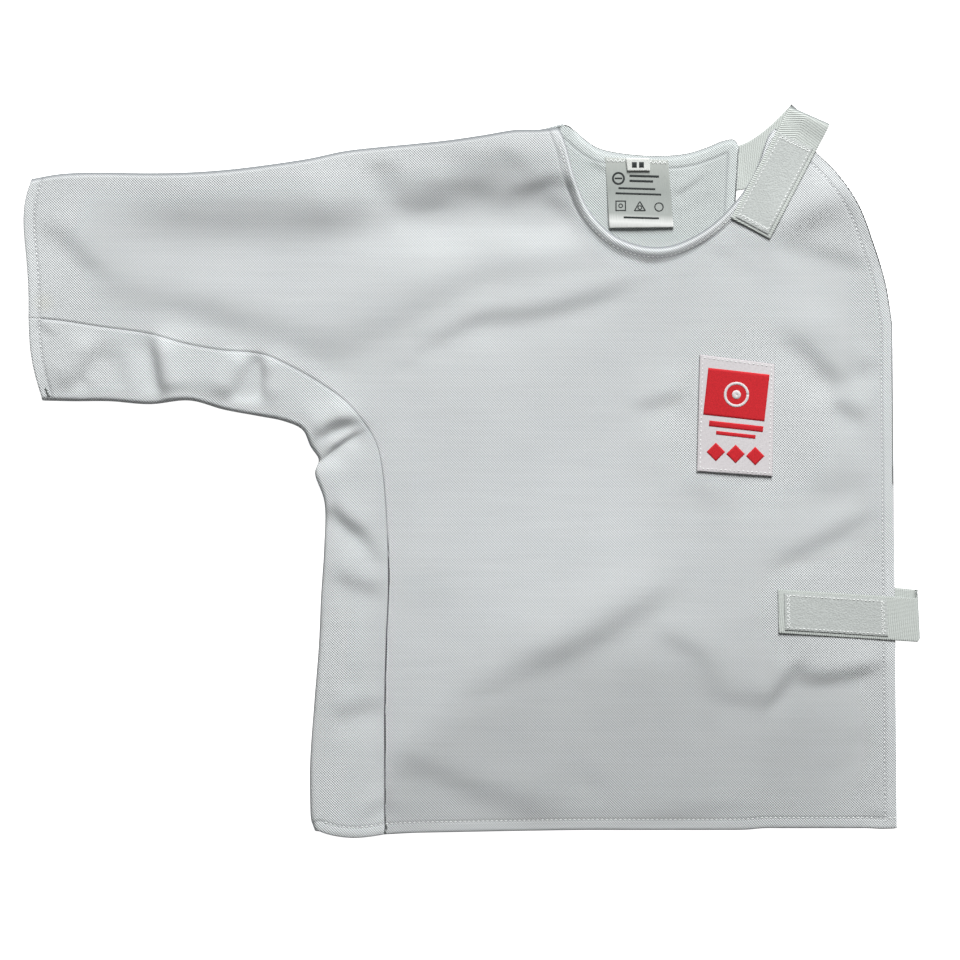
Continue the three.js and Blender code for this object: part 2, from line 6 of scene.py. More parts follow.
import bpy
import numpy as np
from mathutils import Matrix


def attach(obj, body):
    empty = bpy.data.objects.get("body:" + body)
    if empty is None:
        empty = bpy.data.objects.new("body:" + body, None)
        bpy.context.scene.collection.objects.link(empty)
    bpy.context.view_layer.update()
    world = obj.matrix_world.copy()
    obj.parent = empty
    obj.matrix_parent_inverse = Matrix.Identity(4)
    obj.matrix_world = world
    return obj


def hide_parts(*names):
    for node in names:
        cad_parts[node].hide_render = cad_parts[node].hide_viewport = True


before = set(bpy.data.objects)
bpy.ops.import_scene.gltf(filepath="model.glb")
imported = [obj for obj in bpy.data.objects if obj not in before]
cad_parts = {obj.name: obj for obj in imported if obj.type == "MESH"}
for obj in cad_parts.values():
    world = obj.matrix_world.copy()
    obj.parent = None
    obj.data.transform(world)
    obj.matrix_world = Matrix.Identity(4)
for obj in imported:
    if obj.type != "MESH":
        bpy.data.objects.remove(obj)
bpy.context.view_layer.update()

# The camera looks straight down on the table, as in the photograph.
CAMERA_HEIGHT = 3.0
TABLE_ACROSS = 0.6528  # metres of table from one side of the picture to the other
PICTURE_MIDDLE = (0.00544, -0.00544)


def add_object(name, data):
    """An object with its data, in the scene."""
    made = bpy.data.objects.new(name, data)
    bpy.context.collection.objects.link(made)
    return made


camera_data = bpy.data.cameras.new("camera")
camera_data.sensor_width = 36.0
camera_data.lens = camera_data.sensor_width * CAMERA_HEIGHT / TABLE_ACROSS
camera = add_object("camera", camera_data)
camera.location = (*PICTURE_MIDDLE, CAMERA_HEIGHT)
bpy.context.scene.camera = camera

# The table is a plain white surface, bright enough to show no shadow. One large soft lamp stands
# beyond the garment's neck, a little to its right, and an even light comes from all round.
TABLE_SIZE = 8.0
TABLE_COLOUR = (0.93, 0.93, 0.93, 1.0)
LAMP_DISTANCE = 5.0
LAMP_RISE = np.radians(28)
LAMP_ASIDE = np.radians(13)
LAMP_SIZE = 2.6
LAMP_WATTS = 508.0
ROUND_LIGHT = 0.12

half_table = TABLE_SIZE / 2
table_mesh = bpy.data.meshes.new("table")
table_mesh.from_pydata(
    [(x * half_table, y * half_table, 0.0) for x, y in ((-1, -1), (1, -1), (1, 1), (-1, 1))],
    [],
    [(0, 1, 2, 3)],
)
table = add_object("table", table_mesh)
table_finish = bpy.data.materials.new("table")
table_finish.use_nodes = True
table_shader = table_finish.node_tree.nodes["Principled BSDF"]
table_shader.inputs["Base Color"].default_value = TABLE_COLOUR
table_shader.inputs["Roughness"].default_value = 0.9
table_shader.inputs["Specular IOR Level"].default_value = 0.0
table_shader.inputs["Emission Color"].default_value = (1.0, 1.0, 1.0, 1.0)
# It glows only as the camera sees it, so that it doesn't light the cloth from below.
seen = table_finish.node_tree.nodes.new("ShaderNodeLightPath").outputs["Is Camera Ray"]
table_finish.node_tree.links.new(seen, table_shader.inputs["Emission Strength"])
table_mesh.materials.append(table_finish)

lamp_data = bpy.data.lights.new("soft lamp", "AREA")
lamp_data.shape = "DISK"
lamp_data.size = LAMP_SIZE
lamp_data.energy = LAMP_WATTS
lamp = add_object("soft lamp", lamp_data)
lamp.location = (
    LAMP_DISTANCE * np.cos(LAMP_RISE) * np.sin(LAMP_ASIDE),
    LAMP_DISTANCE * np.cos(LAMP_RISE) * np.cos(LAMP_ASIDE),
    LAMP_DISTANCE * np.sin(LAMP_RISE),
)
lamp.rotation_euler = (-lamp.location).to_track_quat("-Z", "Y").to_euler()

sky = bpy.data.worlds.new("round light")
sky.use_nodes = True
sky.node_tree.nodes["Background"].inputs["Color"].default_value = (1.0, 1.0, 1.0, 1.0)
sky.node_tree.nodes["Background"].inputs["Strength"].default_value = ROUND_LIGHT
bpy.context.scene.world = sky
bpy.context.scene.view_settings.view_transform = "Standard"

# The front panel is cut in one with the upper half of the sleeve, in two layers of white knitted
# polyester. Its neck, free side, bottom and cuff are turned in and stitched, and its neck rolls up.
MM = 0.001
WALL = 1.6  # two layers of cloth
SEAM_GAP = 0.3  # between a piece and what lies on it
SEAM_LAP = 1.0  # how far two sewn edges press into each other
SIDE_LAP = 0.25
UNDER_ARM = 11.0  # the point of the seam where the sleeve meets the side
ON_BACK = 5.4  # height of the front's middle surface where the back lies under it
ON_TABLE = 2.5
BACK_HEIGHT = WALL / 2
WEBBING = 30.0
CUFF_BOW = 4.9
CUFF_LEAN = 2.2
CURL = 2.6  # how far in from its end the curl of an edge starts
BAND = 14.0  # width of the neck's band
HEM_STEP = 12.0  # width of the finely worked strip by the seam and the hem
HEM_STITCH = 7.2  # how far in from the edge the hem's stitches run
NECK_STITCH = 7.0
SIDE_STITCH = 8.0
STITCH = (2.5, 3.1)  # a hem stitch's length, and from one to the next
NECK_ROLL = 2.3  # how much higher the neck's rolled edge stands than the cloth beside it
NECK_DROP = 2.1  # how far the edge turns down from there

# Section by section from cuff to bottom hem: the seam of the front with the underarm strip, the
# strip's folded edge, and the fold along the top of the sleeve.
SEAM_LINE = [
    (-301, 104.5), (-279, 102.5), (-253, 98.5), (-220.5, 94), (-195, 87), (-170, 82.5),
    (-143, 80), (-121, 70.5), (-102, 59.5), (-85.5, 47.5), (-73.5, 33.5), (-64.5, 17.5),
    (-60, -7), (-57.5, -46), (-57, -80), (-58.5, -114), (-59.5, -155), (-59.5, -199),
    (-59.5, -246),
]
STRIP_EDGE = [
    (-291, 48.5), (-270.5, 48), (-246, 48), (-219, 46), (-192, 48.5), (-168.5, 42.3),
    (-145.5, 38), (-128, 34.5), (-115, 28.5), (-109.5, 17), (-104, 8), (-106.5, -2),
    (-100, -22), (-100.5, -53), (-102.5, -83.5), (-104, -117.5), (-107, -155), (-110, -199),
    (-109.5, -243.3),
]
TOP_FOLD = [
    (-299, 199), (-279, 202.5), (-254.5, 203.5), (-221.5, 203), (-193, 203.5), (-164.5, 205.5),
    (-136, 209), (-110, 213), (-86.5, 218), (-62.5, 220.8), (-39, 223), (-15, 225.5),
    (9, 229), (29, 232.3), (46, 232.6),
]
# The front goes on along the bottom hem, and along the neck, shoulder tip and free side.
FRONT_HEM = [
    (-39, -245), (-15, -244.5), (12, -244), (43, -243.5), (73.5, -243), (100.5, -243),
    (124.5, -243), (148, -243), (168.5, -243), (185.5, -243), (199, -242), (213, -242),
    (233, -242), (247, -242), (258.5, -242), (268.5, -242), (278, -242.5), (288.7, -242.2),
]
FRONT_NECK = [
    (59, 234), (64, 220.5), (67.5, 206.5), (72, 193), (78, 180), (87, 168.5), (99.5, 159),
    (116.5, 153.5), (134, 153.5), (151, 160), (166.5, 170.5), (180, 184.5), (189.5, 198),
    (196, 212), (201.5, 228), (206.5, 233), (230.5, 220.5), (249, 202), (263.5, 180),
    (273.6, 153.2), (281, 128.5), (285.7, 100),
]
FRONT_INNER = SEAM_LINE + FRONT_HEM
FRONT_OUTER = TOP_FOLD + FRONT_NECK
HEM = len(SEAM_LINE) - 1
SHOULDER = len(TOP_FOLD)
FRONT_LAST = HEM + len(FRONT_HEM)
TIP_START = 30  # sections of the shoulder tip's two corners
TIP_END = 31
FRONT_CORNERS = (SHOULDER, TIP_START, TIP_END)

# The creases. Each is a slope along a line from x, y to x, y, bowed to its left, with a crest on
# the left of the line and a trough on its right: x, y, x, y, bow, width, crest, trough. Where both
# are less than 0 the slope goes the other way.
MAIN_FOLDS = [
    (-250, 170, -59, 169.5, 0, 28.5, 3.15, 1.7),
    (-58.5, 181, -11, 180, 0, 15, 2.25, 0.75),
    (-42.5, 192, 24.5, 192, 0, 16.5, 2.8, 0.95),
    (-42.5, 181.5, 84, 181, 0, 17.5, 1.35, 0.6),
    (23.5, 190, 54.5, 196.5, 0, 9.5, 1.35, 1.35),
    (-10, 201.5, 76.5, 194, 0, 28.5, 2.6, 0.9),
    (-37.5, 213, 68.5, 206, 0, 15, 1.2, 0.45),
    (6, 182.5, 79.5, 180, 0, 11, 0.9, 0.6),
    (-71.5, 199, -29, 194, 0, 16.5, 1.05, 0.7),
    (3, 159, 80, 157.5, 0, 20.5, -0.8, -0.8),
    (-90.5, 149, 15.5, 154, 0, 31.5, -1.35, -1.35),
    (-292.5, 174.5, -243.5, 128, 0, 11, 0.85, 0.85),
    (-264, 128, -148, 107, -1.5, 17.5, 0.8, 0.95),
    (-195.5, 111.5, -71.5, 77.5, 0, 23, 1.1, 1.35),
    (-104.5, 75.5, 15.5, 142.5, 0, 17.5, 0.95, 1.2),
    (-19.5, 129.5, 102.5, 149, 0, 12, 0.45, 0.45),
    (-41, 81.5, 26, 114, 0.5, 9, 0.85, 0.85),
    (-6.5, 102, 121, 133, -6, 9, 1.1, 1.1),
    (199, 155, 259.5, 185.5, 0, 13.5, 1.45, 1.45),
    (200.5, 157, 277, 139.5, 0, 10, 0.95, 1.2),
    (215, 168, 270, 158.5, 0, 20.5, 0.85, 1),
    (219, 198, 269.5, 204.5, 0, 23, -0.55, -0.55),
    (182, 138.5, 280, 124.5, -2.5, 11, 0.35, 0.35),
    (208, 100, 256.5, 58.5, 0, 11, 1.25, 1.45),
    (244, 49.5, 268.5, 35, 0, 9.5, 0.95, 1.15),
    (227.5, -12, 273, -4, 0, 15, 0.65, 0.8),
    (194.5, -67.5, 276, -25, -1.5, 9, 1.05, 1.05),
    (145, -5, 166.5, -25, 0, 12, 0.55, 0.7),
    (-51, -77, -8, -83.5, 0, 16.5, 0.5, 0.6),
    (9.5, -142, 147.5, -68.5, -9, 16.5, 2.15, 1.75),
    (-17.5, -149.5, 31.5, -140.5, 0, 12, 0.3, 0.5),
    (119.5, -108, 168.5, -135.5, 3.5, 10, 0.7, 0.7),
    (148, -134, 184, -158.5, 0, 15, 0.4, 0.6),
    (197, -164, 224, -127, 0, 6, 1.5, 1.25),
    (217.5, -142, 283, -130, -2.5, 6, 1.05, 1.25),
    (-63, -191.5, 8, -217, 1.5, 13, 0.8, 0.8),
    (-13, -212, 60.5, -233, 0, 13.5, 0.9, 0.9),
    (106, -234, 187.5, -226.5, -0.5, 7, 0.35, 0.5),
    (-275.5, 52.5, -251, 91.5, 0, 9, 1.5, 1.25),
    (-218, 97, -208, 43, 0, 6, 2.7, 1.9),
    (-168, 44.5, -147, 80.5, 0, 9, 2.7, 2.1),
    (-113, 16.5, -73.5, 36, 5.5, 7.5, 1.8, 2.6),
    (-112, 4, -88, 22, 2, 9, 0.8, 1.1),
    (-102, -20.5, -67, -46.5, 0, 7, 1.15, 1.75),
    (-98.5, -66.5, -56.5, -82, -1.5, 9, 0.7, 0.9),
    (-89, -140.5, -55.5, -135.5, 0, 17.5, 0.35, 0.5),
    (-97.5, -167, -55, -155.5, 2, 10, 0.85, 1.05),
]
SMALL_CREASES = [
    (-58, 175, 11, 178.5, 0, 8, 0.4, 0.35),
    (-119, 166.5, -55, 176.5, 0, 20.5, 1.2, 0.8),
    (-76.5, 203.5, -48.5, 207, 2.5, 7, 0.33, 0.33),
    (42, 196.5, 75, 188.5, 5, 7.5, 0.95, 0.95),
    (18.5, 224, 41.5, 195, 0, 7, 0.4, 0.4),
    (-223.5, 105, -129.5, 85.5, 0, 9.5, -0.3, -0.3),
    (-148, 91.5, -83, 57, 1.5, 9.5, -0.3, -0.3),
    (-295, 103, -282, 91.5, 0, 4, 0.31, 0.31),
    (-239, 87.5, -233.5, 48.5, 0, 5.5, 0.45, 0.45),
    (-264.5, 67, -255, 48, 0, 5.5, 0.31, 0.31),
    (-143, 82, -141.5, 46, 0, 5.5, 1.8, 1.4),
    (-105, 6, -72.5, 29.5, 2, 3, 1.2, 1.2),
    (49.5, 192, 83.5, 155.5, 0, 7, 0.48, 0.48),
    (-74.5, -41, -59, -64, 0, 7, 0.44, 0.54),
    (-78, -235, -56.5, -220.5, 0, 5.5, 0.49, 0.6),
    (-59.5, -222, -49.5, -232, 0, 5.5, 0.31, 0.46),
    (-53, 71.5, -36, 76, 0, 6, 0.35, 0.42),
    (113, 143, 129, 143, 0, 5, 0.29, 0.29),
    (158.5, 156, 199, 135, 0, 5, 0.33, 0.33),
    (174, 161, 207.5, 146.5, 0, 6, 0.42, 0.42),
    (246.5, 199.5, 276, 137.5, 2.5, 5, 0.4, 0.4),
    (221, 103.5, 267.5, 71.5, 0, 8, 0.3, 0.3),
    (229, 69.5, 255, 61, 0, 9.5, 0.34, 0.52),
    (255, 66.5, 277, 76.5, 0, 8, 0.48, 0.59),
    (105.5, 42.5, 147.5, 54, 0, 8, 0.69, 0.84),
    (45.5, -57.5, 120.5, -53.5, 0, 12, 0.24, 0.24),
    (223, -66, 261.5, -60, 0, 7, 0.15, 0.18),
    (165, -108, 210, -101.5, 0, 11, 0.28, 0.34),
    (161, -154.5, 206.5, -154.5, 0, 9, 0.43, 0.53),
    (214, -127, 234.5, -145, 0, 5.5, 0.28, 0.28),
    (156.5, -161.5, 171, -181, 0, 11, 0.24, 0.29),
    (235.5, -210, 268, -170, 0, 11, 0.37, 0.37),
    (-5, -145.5, 21, -147, 0, 9.5, 0.13, 0.16),
    (9.5, -174.5, 43.5, -187.5, 0, 9.5, 0.13, 0.16),
    (67, -189, 96.5, -224, 0, 8, 0.28, 0.34),
    (10.5, -230.5, 112.5, -233, 0, 7, 0.1, 0.16),
    (266, -231, 287.5, -234, 0, 5.5, 0.16, 0.25),
]


def ease(low, high, x):
    """0 up to low, 1 from high, and a smooth turn between."""
    t = np.clip((x - low) / (high - low), 0, 1)
    return t * t * (3 - 2 * t)


def mix(a, b, t):
    """The number a at t = 0, b at t = 1, in a straight line between."""
    return a + (b - a) * t


def between(a, b, t):
    """The same for points, each by its own t."""
    return a + (b - a) * np.asarray(t, float)[..., None]


def unit(ways):
    """The same directions, each 1 long."""
    return ways / np.linalg.norm(ways, axis=-1, keepdims=True)


def left(ways):
    """The same directions, each turned a quarter to its left."""
    return np.stack([-ways[..., 1], ways[..., 0]], -1)


def through(points, s, sharp=()):
    """The point at section s of a smooth line through points: between two of them a cubic whose
    slope at each is half the way from the one before to the one after, but straight on at sharp ones."""
    points = np.asarray(points, float)
    last = len(points) - 1
    i = np.clip(np.floor(s), 0, last - 1).astype(int)
    t = (s - i)[..., None]
    here, then = points[i], points[i + 1]
    ends = np.isin(np.arange(last + 1), [0, last, *sharp])
    go = np.where(ends[i][..., None], then - here, (then - points[np.maximum(i - 1, 0)]) / 2)
    come = np.where(ends[i + 1][..., None], then - here, (points[np.minimum(i + 2, last)] - here) / 2)
    line = (2 * t**3 - 3 * t**2 + 1) * here + (3 * t**2 - 2 * t**3) * then
    return line + (t**3 - 2 * t**2 + t) * go + (t**3 - t**2) * come


def beside(points, s, move, sharp=()):
    """The same line moved sideways by move, to the left of its own direction."""
    ahead = through(points, s + 1e-3, sharp) - through(points, s - 1e-3, sharp)
    return through(points, s, sharp) + move * left(unit(ahead))


def crease(x, y, row):
    """A slope across a line, at off widths from it off / (1 + off²), with a crest on the left and a
    trough on the right of it, each dying away in a bell, and the whole fading at the line's ends."""
    x0, y0, x1, y1, bow, wide, crest, trough = row
    length = np.hypot(x1 - x0, y1 - y0)
    dx, dy = (x1 - x0) / length, (y1 - y0) / length
    along = ((x - x0) * dx + (y - y0) * dy) / length
    off = ((y - y0) * dx - (x - x0) * dy - 4 * bow * along * (1 - along)) / wide
    past = np.maximum(np.abs(2 * along - 1) - 0.35, 0) / 0.45
    total = crest + trough + (crest - trough) * off / np.hypot(1, off)
    reach = np.clip(0.45 * length / wide, 1.7, 4.5)
    return off / (1 + off**2) * total * np.exp(-((off / reach) ** 2) - past**2)


LOWEST = 0.85
OVER_BACK = 1.95
OVER_STRAP = 1.2
STRAP_MIDDLE = -91.0
STRAP_REACH = (17.0, 38.0)
BACK_ENDS = 3.0  # past the back's free side the front starts to come down,
BACK_CLEAR = 12.0  # is clear of it,
SETTLED = 45.0  # and lies as low as it will
FOLD_TURN = 0.4


def height(x, y, creases=True):
    """The front's middle surface over x, y: its rest height, plus the folds, kept clear of what
    lies under it by a soft turn."""
    beyond = x - mix(155.0, 181.5, (y + 243) / 464)
    z = mix(ON_TABLE, ON_BACK, 1 - ease(BACK_ENDS, SETTLED, beyond))
    for row in MAIN_FOLDS + (SMALL_CREASES if creases else []):
        z = z + crease(x, y, row)
    if creases:
        swell = np.sin(x / 19 + 1.1) * np.sin(y / 23 + 0.4) + 0.6 * np.sin(x / 11 - y / 13)
        z = z + 0.10 * swell
    over_back = 1 - ease(BACK_ENDS, BACK_CLEAR, beyond)
    over_strap = 1 - ease(*STRAP_REACH, np.abs(y - STRAP_MIDDLE))
    lowest = LOWEST + np.maximum(OVER_BACK * over_back, OVER_STRAP * over_strap)
    return (z + lowest + np.hypot(z - lowest, FOLD_TURN)) / 2


def height_at(spot, creases=True):
    """The same height at points."""
    return height(spot[..., 0], spot[..., 1], creases)


def cuff_bow(s, share, bow=CUFF_BOW):
    """How far the cuff's edge bows out at a share of the way across it, fading along the sleeve."""
    return -bow * np.exp(-((s / 0.9) ** 2)) * np.sin(np.pi * share)


def seam_lap(s):
    """How far the underarm seam's edges press in at section s: more on the sleeve than on the side."""
    return mix(SEAM_LAP, SIDE_LAP, ease(UNDER_ARM - 1.5, UNDER_ARM + 1, s))[..., None]


def front_place(s, v):
    """The front's middle surface. Section s runs from the seam or the hem up to the neck. v 0 to 1
    is the strip by the seam, 1 to 2 the body, 2 to 3 the band by the outer edge, 3 to 4 its curl."""
    inner = through(FRONT_INNER, s, (HEM,))
    seam = beside(SEAM_LINE, np.minimum(s, HEM - 0.01), -seam_lap(s) / 2)
    inner = np.where((s <= HEM)[..., None], seam, inner)
    outer = through(FRONT_OUTER, s, FRONT_CORNERS)
    length = np.linalg.norm(outer - inner, axis=-1)
    fold = 1 - ease(SHOULDER, SHOULDER + 0.6, s)
    neck = ease(SHOULDER, SHOULDER + 0.6, s) * (1 - ease(29.2, 30, s))
    inset = WALL / 2 * np.maximum(fold, neck)
    end = between(outer, inner, inset / length)
    drop = fold * (height_at(end) - BACK_HEIGHT + SEAM_LAP) / 2 + neck * NECK_DROP
    turn = np.pi / 2 * np.clip(v - 3, 0, 1)
    off = np.select(
        [v <= 1, v <= 2, v <= 3],
        [
            length - v * HEM_STEP,
            mix(length - HEM_STEP, BAND, np.clip(v - 1, 0, 1)),
            mix(BAND, inset + CURL, np.clip(v - 2, 0, 1)),
        ],
        inset + CURL * (1 - np.sin(turn)),
    )
    spot = between(outer, inner, off / length)
    x, y = spot[..., 0], spot[..., 1]
    roll = NECK_ROLL * neck * (1 - 0.75 * ease(24, 27, s)) * (0.45 + 0.55 * ease(15.5, 18, s))
    lip = 1 - ease(2.5, 11.5, off)
    z = height(x, y) + roll * lip - drop * (1 - np.cos(turn))
    share = np.clip(1 - off / length, 0, 1)
    return np.stack([x + cuff_bow(s, share**CUFF_LEAN), y, z], -1)


def from_lines(x, y, lines):
    """How far each point is past the nearest stitch line: its distance to each edge, less that
    edge's own distance from its stitches, the least of them."""
    flat = np.stack([x, y], -1).reshape(-1, 1, 2)
    best = np.full(len(flat), 1e3)
    for points, inset in lines:
        a, b = points[:-1], points[1:]
        step = b - a
        t = np.clip(((flat - a) * step).sum(-1) / (step**2).sum(-1), 0, 1)
        near = np.linalg.norm(flat - a - t[..., None] * step, axis=-1).min(-1)
        best = np.minimum(best, near - inset)
    return best.reshape(x.shape)


def shell(name, place, us, vs, wall, finish, edges=(), arc=4):
    """A closed sheet of cloth. Two faces stand half the wall off the middle surface place(u, v),
    along its own normal, and a half-round edge joins them all round."""
    u, v = np.meshgrid(us, vs, indexing="ij")
    middle = place(u, v)
    du = place(np.minimum(u + 1e-3, us[-1]), v) - place(np.maximum(u - 1e-3, us[0]), v)
    dv = place(u, np.minimum(v + 1e-3, vs[-1])) - place(u, np.maximum(v - 1e-3, vs[0]))
    normal = unit(np.cross(du, dv))
    rows, columns = u.shape
    i = np.concatenate([
        np.zeros(columns - 1), np.arange(rows - 1), np.full(columns - 1, rows - 1),
        np.arange(rows - 1, 0, -1),
    ]).astype(int)
    j = np.concatenate([
        np.arange(columns - 1), np.full(rows - 1, columns - 1), np.arange(columns - 1, 0, -1),
        np.zeros(rows - 1),
    ]).astype(int)
    rim, rim_normal = middle[i, j], normal[i, j]
    outward = unit(np.cross(rim_normal, np.roll(rim, -1, 0) - np.roll(rim, 1, 0)))
    half = wall / 2
    middle[i, j] = rim - outward * half
    turns = np.pi * np.arange(1, arc) / arc
    edge = middle[i, j] + half * (
        rim_normal * np.cos(turns)[:, None, None] + outward * np.sin(turns)[:, None, None]
    )
    points = np.concatenate([
        (middle + normal * half).reshape(-1, 3), (middle - normal * half).reshape(-1, 3),
        edge.reshape(-1, 3),
    ])
    one = np.arange(rows * columns).reshape(rows, columns)
    top = np.stack([one[:-1, :-1], one[1:, :-1], one[1:, 1:], one[:-1, 1:]], -1).reshape(-1, 4)
    under = top[:, ::-1] + rows * columns
    layers = np.vstack([
        one[i, j], 2 * rows * columns + np.arange((arc - 1) * len(i)).reshape(arc - 1, -1),
        one[i, j] + rows * columns,
    ])
    ahead = np.roll(layers, -1, 1)
    rim_faces = np.stack([layers[:-1], ahead[:-1], ahead[1:], layers[1:]], -1).reshape(-1, 4)
    along = np.cumsum(np.linalg.norm(np.diff(middle, axis=0, prepend=middle[:1]), axis=-1), 0)
    across = np.cumsum(np.linalg.norm(np.diff(middle, axis=1, prepend=middle[:, :1]), axis=-1), 1)
    chart = np.stack([along, across], -1)
    charts = np.concatenate([
        chart.reshape(-1, 2), chart.reshape(-1, 2), np.tile(chart[i, j], (arc - 1, 1)),
    ])
    return new_piece(name, points, np.vstack([top, under, rim_faces]), finish, charts, edges)


def new_piece(name, points, faces, finish, charts=None, edges=()):
    """A mesh object from points in millimetres and four-cornered faces, with its chart as a UV map
    in metres and its distance past the nearest stitch line as an attribute."""
    mesh = bpy.data.meshes.new(name)
    mesh.from_pydata((points * MM).tolist(), [], faces.tolist())
    mesh.polygons.foreach_set("use_smooth", np.ones(len(mesh.polygons), bool))
    if charts is not None:
        corners = np.empty(len(mesh.loops), int)
        mesh.loops.foreach_get("vertex_index", corners)
        layer = mesh.uv_layers.new(name="chart")
        layer.data.foreach_set("uv", (charts[corners] * MM).ravel())
    if edges:
        past = mesh.attributes.new("past_stitches", "FLOAT", "POINT")
        past.data.foreach_set("value", from_lines(points[:, 0], points[:, 1], edges))
    mesh.materials.append(finish)
    mesh.update()
    piece = add_object(name, mesh)
    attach(piece, "root")
    return piece


class Finish:
    """A material being made: its shader and short ways to add and join nodes."""

    def __init__(self, name, roughness, sheen=0.0, specular=0.2):
        self.material = bpy.data.materials.new(name)
        self.material.use_nodes = True
        self.tree = self.material.node_tree
        self.shader = self.tree.nodes["Principled BSDF"]
        values = {"Roughness": roughness, "Specular IOR Level": specular, "Sheen Weight": sheen,
                  "Sheen Roughness": 0.5}
        for key, value in values.items():
            self.shader.inputs[key].default_value = value

    def node(self, kind, settings=None, **values):
        """A node of a kind, with settings as its own properties and values on its inputs, where a
        value that is another node's output is joined to it."""
        made = self.tree.nodes.new(kind)
        for key, value in (settings or {}).items():
            setattr(made, key, value)
        for key, value in values.items():
            key = int(key[1:]) if key[0] == "i" and key[1:].isdigit() else key.replace("_", " ")
            if isinstance(value, bpy.types.NodeSocket):
                self.tree.links.new(value, made.inputs[key])
            else:
                made.inputs[key].default_value = value
        return made

    def maths(self, operation, a, b=0.0, c=0.0):
        """One sum of two or three numbers or outputs."""
        return self.node("ShaderNodeMath", {"operation": operation}, i0=a, i1=b, i2=c).outputs[0]

    def spot(self):
        """Where a point of the surface is, in metres."""
        return self.node("ShaderNodeTexCoord").outputs["Object"]

    def chart(self):
        """Where a point is on the piece laid out flat, in metres."""
        return self.node("ShaderNodeUVMap", {"uv_map": "chart"}).outputs["UV"]

    def axes(self, vector):
        """A vector's X, Y and Z."""
        return self.node("ShaderNodeSeparateXYZ", None, i0=vector).outputs

    def noise(self, vector, scale, detail=2.0):
        """Uneven greys between 0 and 1."""
        made = self.node("ShaderNodeTexNoise", None, Vector=vector, Scale=scale, Detail=detail)
        return made.outputs["Fac"]

    def stretched(self, vector, scale):
        """A vector with each axis times its own scale."""
        return self.node("ShaderNodeMapping", None, Vector=vector, Scale=scale).outputs["Vector"]

    def wave(self, axis, pitch, shape="SINE"):
        """A sine or cosine of -1 to 1 along an axis, one turn in each pitch millimetres."""
        return self.maths(shape, self.maths("MULTIPLY", axis, 2 * np.pi / (pitch * MM)))

    def raised(self, wave):
        """A wave of -1 to 1 brought to 0 to 1."""
        return self.maths("MULTIPLY_ADD", wave, 0.5, 0.5)

    def blend(self, *parts):
        """The sum of outputs, each times its share."""
        total = 0.0
        for part, share in parts:
            total = self.maths("MULTIPLY_ADD", part, share, total)
        return total

    def ramp(self, factor, stops):
        """A colour ramp through stops of place and grey or colour."""
        made = self.node("ShaderNodeValToRGB", None, Fac=factor)
        elements = made.color_ramp.elements
        while len(elements) < len(stops):
            elements.new(0.5)
        for element, (place, colour) in zip(elements, stops):
            element.position = place
            element.color = (*colour, 1.0) if len(colour) == 3 else colour
        return made.outputs["Color"]

    def bump(self, heights, distance, strength=1.0, on=None):
        """Relief from a height of 0 to 1, over another relief where one is given."""
        made = self.node("ShaderNodeBump", None, Height=heights, Strength=strength, Distance=distance)
        if on is not None:
            self.tree.links.new(on, made.inputs["Normal"])
        return made.outputs["Normal"]

    def times(self, colour, factor):
        """One colour times another."""
        kind = {"data_type": "RGBA", "blend_type": "MULTIPLY"}
        return self.node("ShaderNodeMix", kind, i0=1.0, i6=colour, i7=factor).outputs[2]

    def read(self, name):
        """A number that the mesh carries at its points."""
        return self.node("ShaderNodeAttribute", {"attribute_name": name}).outputs["Fac"]

    def painted_rim_shade(self, colour, sewn=False):
        """Painted shade: the colour darker where the surface turns down, most so towards the neck and
        the lamp, by the normal's z less a share of its y. Where it is sewn on that side, the share is
        added."""
        normal = self.node("ShaderNodeNewGeometry").outputs["Normal"]
        axes = self.axes(normal)
        lean = self.maths("MULTIPLY", self.maths("ABSOLUTE", axes["Y"]) if sewn else axes["Y"], 0.65)
        up = self.maths("ADD" if sewn else "SUBTRACT", self.maths("ABSOLUTE", axes["Z"]), lean)
        stops = [(0.0, (0.25, 0.26, 0.27)), (0.3, (0.37, 0.38, 0.39)), (0.54, (0.56, 0.56, 0.57)),
                 (0.72, (0.79, 0.79, 0.80)), (0.87, (1.0, 1.0, 1.0))]
        return self.times(colour, self.ramp(up, stops))

    def done(self, colour, relief):
        """Joins the colour and relief to the shader."""
        self.tree.links.new(colour, self.shader.inputs["Base Color"])
        self.tree.links.new(relief, self.shader.inputs["Normal"])
        return self.material


CLOTH_COLOUR = (0.655, 0.678, 0.684)
CLOTH_SHADE = (0.42, 0.446, 0.455)
KNIT_PITCH = 1.77  # millimetres from one dot of the knit to the next


